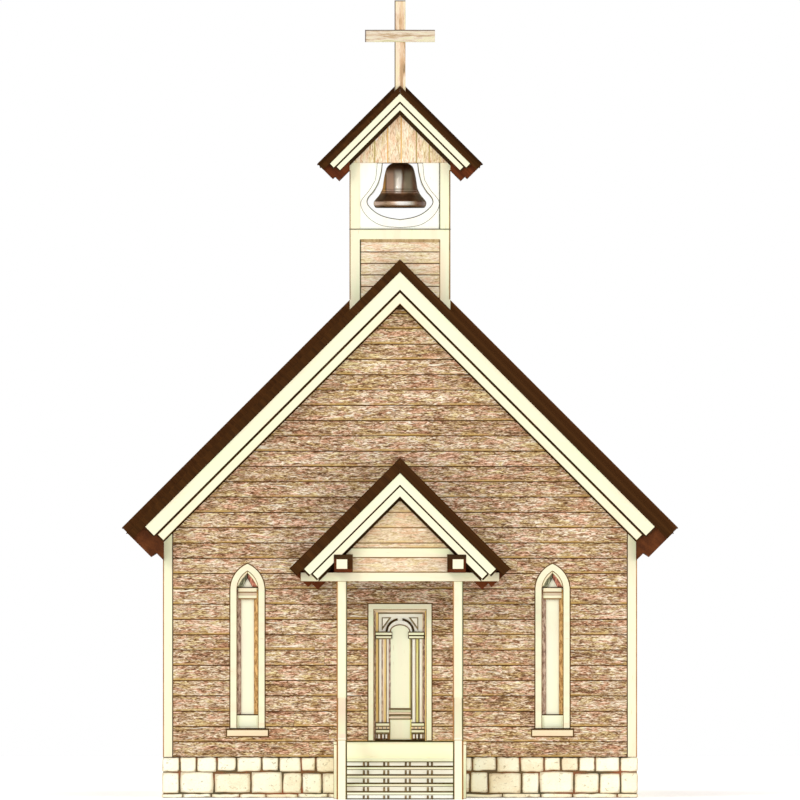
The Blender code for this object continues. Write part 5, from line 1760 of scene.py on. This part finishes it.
def hang_bell():
    bell = Piece("turned_bell")
    bell.turn([*BELL_OUTSIDE, *BELL_INSIDE], (0.0, TOWER_MID), 72)
    y = TOWER_MID
    bell.board(-0.06, 0.06, 10.165, 10.1897, (-y - 0.05, -y + 0.05), ease=0.006, both=True)
    for side in (-1, 1):
        lug_x = mirrored(side, 0.0165, 0.032)
        lug = rounded((-y, CLAPPER_Z), 0.02, 12)[6:] + [(-y + 0.02, 10.139), (-y - 0.02, 10.139)]
        lug = [(-u, v) for u, v in lug]
        bell.add(lug, lug_x, SIDEWALL, ease=0.002, both=True)
    bell.add(rounded((y, CLAPPER_Z), 0.0085), (-0.024, 0.024), SIDEWALL, finish=1, along=None)
    bell.made(old_bronze(), iron, body="bell", slot="dark_bronze", replaces=["bell"])


def hang_clapper():
    """A forged rod with an eye, a ball where it strikes, and a flight below the ball."""
    clapper = Piece("forged_clapper")
    ball_z = CLAPPER_Z - 0.525
    rod = ((0.0, 0.0185), (0.012, 0.019), (0.0135, 0.05), (0.011, 0.09))
    neck = ((0.014, 0.075), (0.021, 0.052))
    flight = ((0.017, 0.048), (0.015, 0.064), (0.009, 0.069), (0.0, 0.07))
    profile = [(r, CLAPPER_Z - drop) for r, drop in rod]
    profile += [(r, ball_z + rise) for r, rise in neck]
    ball = [radians(a) for a in range(35, 146, 11)]
    profile += [(0.044 * sin(a), ball_z + 0.044 * cos(a)) for a in ball]
    profile += [(r, ball_z - drop) for r, drop in flight]
    clapper.turn(profile[::-1], (0.0, TOWER_MID), 28)
    eye = rounded((TOWER_MID, CLAPPER_Z), 0.0215, 20)
    hole = rounded((TOWER_MID, CLAPPER_Z), 0.0102, 20)
    rings = [[clapper.bm.verts.new((x, y, z)) for y, z in loop]
             for x, loop in ((-0.013, eye), (0.013, eye), (0.013, hole), (-0.013, hole))]
    for a, b in zip(rings, rings[1:] + rings[:1]):
        for i in range(20):
            k = (i + 1) % 20
            clapper.bm.faces.new((a[i], a[k], b[k], b[i]))
    clapper.made(iron, body="clapper", slot="forged_iron", replaces=["clapper"])


hang_bell()
hang_clapper()

# %% [markdown]
# ## Entrance
#
# The door is one hinged leaf in a rebated frame. The leaf is planked on the inside. On the outside
# it wears applied joinery: paired colonnettes with capitals and bases carry a round arch over a
# tall panel, with small pierced spandrels above and rails below. The mouldings are thin, so each is
# its own strip, and the tints between the colonnettes are glazes of gold, rose and olive.

# %% Door frame
old_pine = stained("old_pine_floor", (150, 112, 70), (186, 148, 100), (212, 178, 130), rough=0.5)
LEAF_Y = -4.19
REBATE_HALF = 0.4197
HINGE_LEVELS = (1.2, 1.95, 2.72)
HINGE_AXIS = (-0.416, -4.133)
PLAN_XZ = on_axes((1, 0, 0), (0, 0, 1), (0, 1, 0), (0, 0, 0))
gold_glaze = stained("gold_glaze", (232, 192, 110), (252, 218, 142), (255, 232, 172))
rose_glaze = stained("rose_glaze", (228, 200, 168), (250, 230, 202), (255, 244, 224))
lime_glaze = stained("lime_glaze", (208, 198, 108), (236, 228, 144), (250, 244, 184))
grey_brown = stained("grey_brown_line", (96, 84, 58), (126, 112, 80), (156, 140, 106))
# Paler copies of the white and the cream for the door in the porch's shade: painted light.
door_white_painted_light = cream_paint("door_white_with_painted_light", (255, 253, 242), (255, 246, 234), (255, 253, 244))
door_cream_painted_light = cream_paint("door_cream_with_painted_light", (252, 250, 216), (255, 246, 212), (248, 254, 214))


def portal(half_out, top_out, half_in, top_in, low):
    """A door-shaped band that is open at the bottom."""
    outer = [(half_out, low), (half_out, top_out), (-half_out, top_out), (-half_out, low)]
    inner = [(-half_in, low), (-half_in, top_in), (half_in, top_in), (half_in, low)]
    return outer + inner


def hinge_round(piece, z0, z1, finish):
    piece.add(rounded(HINGE_AXIS, 0.011), (z0, z1), PLAN, finish, None, ease=0.0015, both=True)


def frame_the_door():
    frame_ = Piece("door_frame_joinery")
    cream_, line_, rose_, gold_, purple_, iron_, oak_ = range(7)
    front = facing(0, y=FRONT_Y)
    casing = portal(0.511, 3.107, 0.4195, 3.0095, 0.91)
    frame_.add(casing, (0.0003, 0.03), front, ease=0.008, edge=line_)
    frame_.add(portal(0.44, 3.03, 0.42, 3.01, FLOOR_TOP), (-0.1999, 0.0), front)
    frame_.board(-0.44, 0.44, 0.6503, FLOOR_TOP - 0.0003, (-0.1999, 0.02), front, oak_, ease=0.006)
    rebate = (-0.1488, -0.1102)
    for side, finish in ((-1, purple_), (1, gold_)):
        u = mirrored(side, 0.4, REBATE_HALF)
        frame_.board(*u, FLOOR_TOP, 2.9897, rebate, front, finish, (0, 1), 0.003, line_)
    frame_.board(
        -REBATE_HALF, REBATE_HALF, 2.99, 3.0097, rebate, front, rose_, ease=0.003, edge=line_
    )
    inner_y = FRONT_Y + 0.2
    for z in HINGE_LEVELS:
        for z0, z1 in ((z, z + 0.03), (z + 0.071, z + 0.101)):
            hinge_round(frame_, z0, z1, iron_)
            flap = rectangle(-0.438, -0.418, z0 + 0.001, z1 - 0.001)
            frame_.add(flap, (inner_y - 0.0005, inner_y + 0.006), PLAN_XZ, iron_, ease=0.001)
    frame_.made(
        door_cream_painted_light, soft_brown, rose_glaze, gold_glaze, stile_left, iron, old_pine,
        replaces=["door_casing"],
    )


# %% [markdown]
# The leaf is one slab, and every moulding on it is a strip with its own height and tint, laid from
# the outer edge to the middle. The columns are half round, so they catch light along one side.

# %% Door leaf
COLUMNS = {-1: ((-0.338, -0.295), (-0.213, -0.18)), 1: ((0.198, 0.248), (0.313, 0.362))}
DOOR_SPRING, TRIM_HALF = 2.652, 0.3985


def shaft(piece, x0, x1, z0, z1, proud, finish):
    """A half-round strip on the face of the leaf."""
    centre, half = (x0 + x1) / 2, (x1 - x0) / 2
    bow = [(centre + half * cos(pi * i / 10), LEAF_Y - proud * sin(pi * i / 10)) for i in range(11)]
    bow = [(bow[0][0], LEAF_Y + 0.004), *bow, (bow[-1][0], LEAF_Y + 0.004)]
    piece.add(bow, (z0, z1), PLAN, finish, along=None)


def arch_band(out, rise, thick, low=0, high=90):
    """Half of an arched band to the right of the middle, from an angle low to high in degrees."""
    angles = [radians(low + (high - low) * i / 10) for i in range(11)]
    outer = [(out * cos(a), DOOR_SPRING + rise * sin(a)) for a in angles]
    inner = [((out - thick) * cos(a), DOOR_SPRING + (rise - thick) * sin(a)) for a in angles]
    return outer + inner[::-1]


def mould_the_leaf(leaf, face):
    """Names with a low line at the end are places in the leaf's list of finishes."""
    cream_, line_, dark_, gold_, rose_, lime_, purple_, grey_, panel_, white_ = range(10)

    def strip(x0, x1, z0, z1, proud, finish, ease=0.0, edge=None, along=(1, 0)):
        leaf.board(x0, x1, z0, z1, (-0.002, proud), face, finish, along, ease, edge)

    def post(x0, x1, finish, proud=0.005, z0=0.926, z1=2.66):
        strip(x0, x1, z0, z1, proud, finish, 0.001, None, (0, 1))

    post(-TRIM_HALF, -0.386, purple_, 0.0055, 0.93, 2.965)
    post(-0.386, -0.352, gold_, 0.0055, 0.93, 2.965)
    post(-0.352, -0.34, line_, 0.007, 0.93, 2.94)
    post(0.3635, TRIM_HALF, purple_, 0.0055, 0.93, 2.965)
    strip(-TRIM_HALF, TRIM_HALF, 2.966, 2.988, 0.0055, rose_)
    strip(-0.352, 0.3635, 2.94, 2.965, 0.0075, grey_, 0.003, dark_)
    strip(-0.34, 0.352, 2.66, 2.939, 0.003, white_)
    for side in (-1, 1):
        for outline, low, proud, finish, ease, edge in (
            ([(0.292, 2.672), (0.292, 2.885), (0.138, 2.885)], 0.004, 0.016, grey_, 0.004, line_),
            ([(0.277, 2.735), (0.277, 2.871), (0.178, 2.871)], 0.012, 0.0175, white_, 0.001, None),
            (arch_band(0.232, 0.222, 0.036, 2, 80), 0.004, 0.024, dark_, 0.005, grey_),
            (arch_band(0.196, 0.186, 0.03), 0.004, 0.016, white_, 0.004, None),
            (arch_band(0.165, 0.122, 0.016), 0.004, 0.013, line_, 0.003, grey_),
        ):
            outline = flipped(outline) if side < 0 else outline
            leaf.add(outline, (low, proud), face, finish, ease=ease, edge=edge)
    angles = [radians(a) for a in range(0, 181, 12)]
    arch = [(0.149 * cos(a), DOOR_SPRING + 0.106 * sin(a)) for a in angles]
    leaf.add([(-0.149, 1.434), (0.149, 1.434), *arch], (-0.002, 0.006), face, panel_, (0, 1))
    post(-0.18, -0.15, purple_, 0.007, 1.25, DOOR_SPRING)
    post(0.15, 0.166, lime_, 0.005, 1.25, DOOR_SPRING)
    post(0.166, 0.196, grey_, 0.007, 1.25, DOOR_SPRING)
    for x0, x1, finish in (
        (-0.295, -0.277, purple_), (-0.277, -0.252, rose_), (-0.252, -0.227, gold_),
        (-0.227, -0.213, line_), (0.248, 0.262, line_), (0.262, 0.29, lime_),
        (0.29, 0.313, grey_),
    ):
        post(x0, x1, finish, 0.006)
    for side, columns in COLUMNS.items():
        for x0, x1 in columns:
            shaft(leaf, x0, x1, 1.2, 2.54, 0.026, white_)
        near, far = (-0.392, -0.13) if side < 0 else (0.136, 0.3865)
        for z0, z1, proud, finish, over in (
            (2.644, 2.656, 0.036, dark_, 0.0), (2.601, 2.644, 0.041, cream_, 0.001),
            (2.586, 2.601, 0.035, dark_, -0.004), (2.55, 2.586, 0.038, cream_, -0.006),
            (2.536, 2.55, 0.03, grey_, -0.01),
        ):
            ease = 0.004 if finish == cream_ else 0.0
            strip(near - over, far + over, z0, z1, proud, finish, ease, line_)
        for x in (near, far):
            strip(x - 0.0055, x + 0.0055, 2.545, 2.65, 0.036, dark_)
        near, far = (-0.388, -0.17) if side < 0 else (0.182, 0.39)
        for z0, z1, proud, finish in (
            (1.19, 1.204, 0.034, dark_), (1.146, 1.19, 0.038, cream_), (1.128, 1.146, 0.03, grey_),
            (1.1, 1.128, 0.031, rose_), (1.084, 1.1, 0.03, dark_), (1.04, 1.084, 0.037, cream_),
            (1.018, 1.04, 0.032, grey_),
        ):
            ease = 0.004 if finish == cream_ else 0.0
            strip(near, far, z0, z1, proud, finish, ease, line_)
        for i in range(7):
            x = near + 0.012 + i * (far - near - 0.024) / 6
            strip(x - 0.005, x + 0.005, 1.102, 1.126, 0.036, dark_ if i % 2 else gold_)
        strip(near, far, 0.93, 1.018, 0.006, line_)
        for a, b in ((0.0, 0.014), (0.03, 0.072), (0.098, 0.134), (0.15, 0.186)):
            x0, x1 = (near + a, near + b) if side < 0 else (far - b, far - a)
            strip(x0, x1, 0.942, 1.014, 0.033, white_, 0.004, line_, (0, 1))
    for z0, z1, finish, proud in (
        (1.403, 1.433, grey_, 0.012), (1.373, 1.396, cream_, 0.018), (1.334, 1.367, rose_, 0.015),
        (1.306, 1.334, grey_, 0.012), (1.267, 1.297, rose_, 0.016), (1.247, 1.26, line_, 0.01),
    ):
        strip(-0.181, 0.176, z0, z1, proud, finish, 0.004, line_)
    strip(-0.15, 0.158, 0.946, 1.236, 0.008, panel_, 0.003, None, (0, 1))
    for x0, x1, finish in ((-0.184, -0.158, line_), (0.162, 0.182, lime_)):
        strip(x0, x1, 0.93, 1.247, 0.008, finish)
    strip(-TRIM_HALF, TRIM_HALF, 0.9085, 0.929, 0.0055, dark_)


def make_the_leaf():
    leaf = Piece("door_leaf_joinery")
    face = facing(0, y=LEAF_Y)
    slab = rectangle(-0.412, 0.412, 0.908, 3.002)
    leaf.add(slab, (-0.033, 0.0), face, along=(0, 1))
    mould_the_leaf(leaf, face)
    inside = facing(180, y=LEAF_Y + 0.033)
    edges = [-0.411 + 0.822 * i / 6 for i in range(7)]
    for u0, u1 in zip(edges, edges[1:]):
        plank = rectangle(u0 + 0.0015, u1 - 0.0015, 0.909, 3.001)
        leaf.add(plank, (-0.001, 0.012), inside, along=(0, 1), ease=0.004, edge=1)
    for z in HINGE_LEVELS:
        hinge_round(leaf, z + 0.0305, z + 0.0705, 10)
        flap = rectangle(-0.416, -0.37, z + 0.032, z + 0.069)
        leaf.add(flap, (LEAF_Y + 0.043, LEAF_Y + 0.051), PLAN_XZ, 10, ease=0.001)
    leaf.made(
        door_cream_painted_light, soft_brown, bead_brown, gold_glaze, rose_glaze, lime_glaze, stile_left,
        grey_brown, panel_cream_painted_light, door_white_painted_light, iron, body="door", replaces=["door_leaf"],
    )


frame_the_door()
make_the_leaf()

# %% [markdown]
# ## The solids that stay in view
#
# Some solids already have the right shape and only need a finish: the sheathing behind the boards,
# the corner boards, the boxed eaves, the tower's frame and panels, and the headstock.
# Each gets its own, with the grain along its longest side.

# %% Finish the remaining solids
def finish_solids():
    # The sheathing is stained dark as painted shade, which shows in the seams between the boards.
    sheathing = stained("sheathing_painted_shade", (70, 46, 26), (94, 64, 38), (122, 86, 54), run=SIDEWAYS)
    eave_red = stained("red_brown_eave", (66, 34, 16), (84, 44, 20), (104, 58, 28), run=LENGTHWISE)
    backing = stained("gable_backing", (120, 88, 52), (150, 114, 72), (178, 142, 96), run=UPRIGHT)
    stock_oak = stained(
        "headstock_oak", (104, 78, 50), (138, 106, 70), (172, 138, 98), rough=0.65, run=SIDEWAYS
    )
    upright_cream = cream_paint("upright_cream_paint", run=UPRIGHT)
    panel_paint = cream_paint(
        "bell_panel_paint", (254, 253, 240), (255, 248, 234), (250, 254, 240), run=UPRIGHT
    )
    kinds = {
        sheathing: (
            "front_wall", "front_gable_wall", "left_wall", "right_wall", "back_wall",
            "belfry_base_walls",
        ),
        eave_red: ("left_eave_box", "right_eave_box"),
        backing: ("belfry_gable",),
        stock_oak: ("bell_headstock",),
        upright_cream: ("left_corner_trim", "right_corner_trim", "belfry_frame"),
        panel_paint: ("bell_panel",),
        glass: ("left_glass_sheet", "right_glass_sheet"),
    }
    count = 0
    for finish, starts in kinds.items():
        for name, obj in solids.items():
            if name.startswith(starts):
                for slot in obj.material_slots:
                    slot.material = finish
                count += 1
    print(count, "solids finished")


finish_solids()

# %% [markdown]
# The floor inside is fifty narrow boards with eased edges, which show through the open door. A thin
# bead closes the outer edge of each corner board.

# %% Floor boards and corner beads
def board_the_floor():
    low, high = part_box("nave_floor")
    floor = Piece("nave_floor_boards")
    wide = (high[0] - low[0]) / 50
    for i in range(50):
        x = low[0] + i * wide
        plank = eased_rectangle(x + 0.001, x + wide - 0.001, low[2], high[2], 0.003)
        floor.add(plank, (-high[1], -low[1]), finish=0, along=None, edge=1, arris=0.006)
    floor.made(old_pine, soft_brown, slot="weathered_oak", replaces=["nave_floor"])


def bead_the_corners():
    beads = Piece("corner_beads")
    x0, x1 = WALL_X + 0.0253, WALL_X + 0.042
    for side in (-1, 1):
        for y0, y1 in ((FRONT_Y - 0.024, FRONT_Y + 0.004), (BACK_Y - 0.004, BACK_Y + 0.024)):
            xs = mirrored(side, x0, x1)
            beads.add(eased_rectangle(*xs, y0, y1, 0.004), (FOOTING_TOP, 4.05), PLAN, along=None)
    beads.made(orange_bead)


board_the_floor()
bead_the_corners()
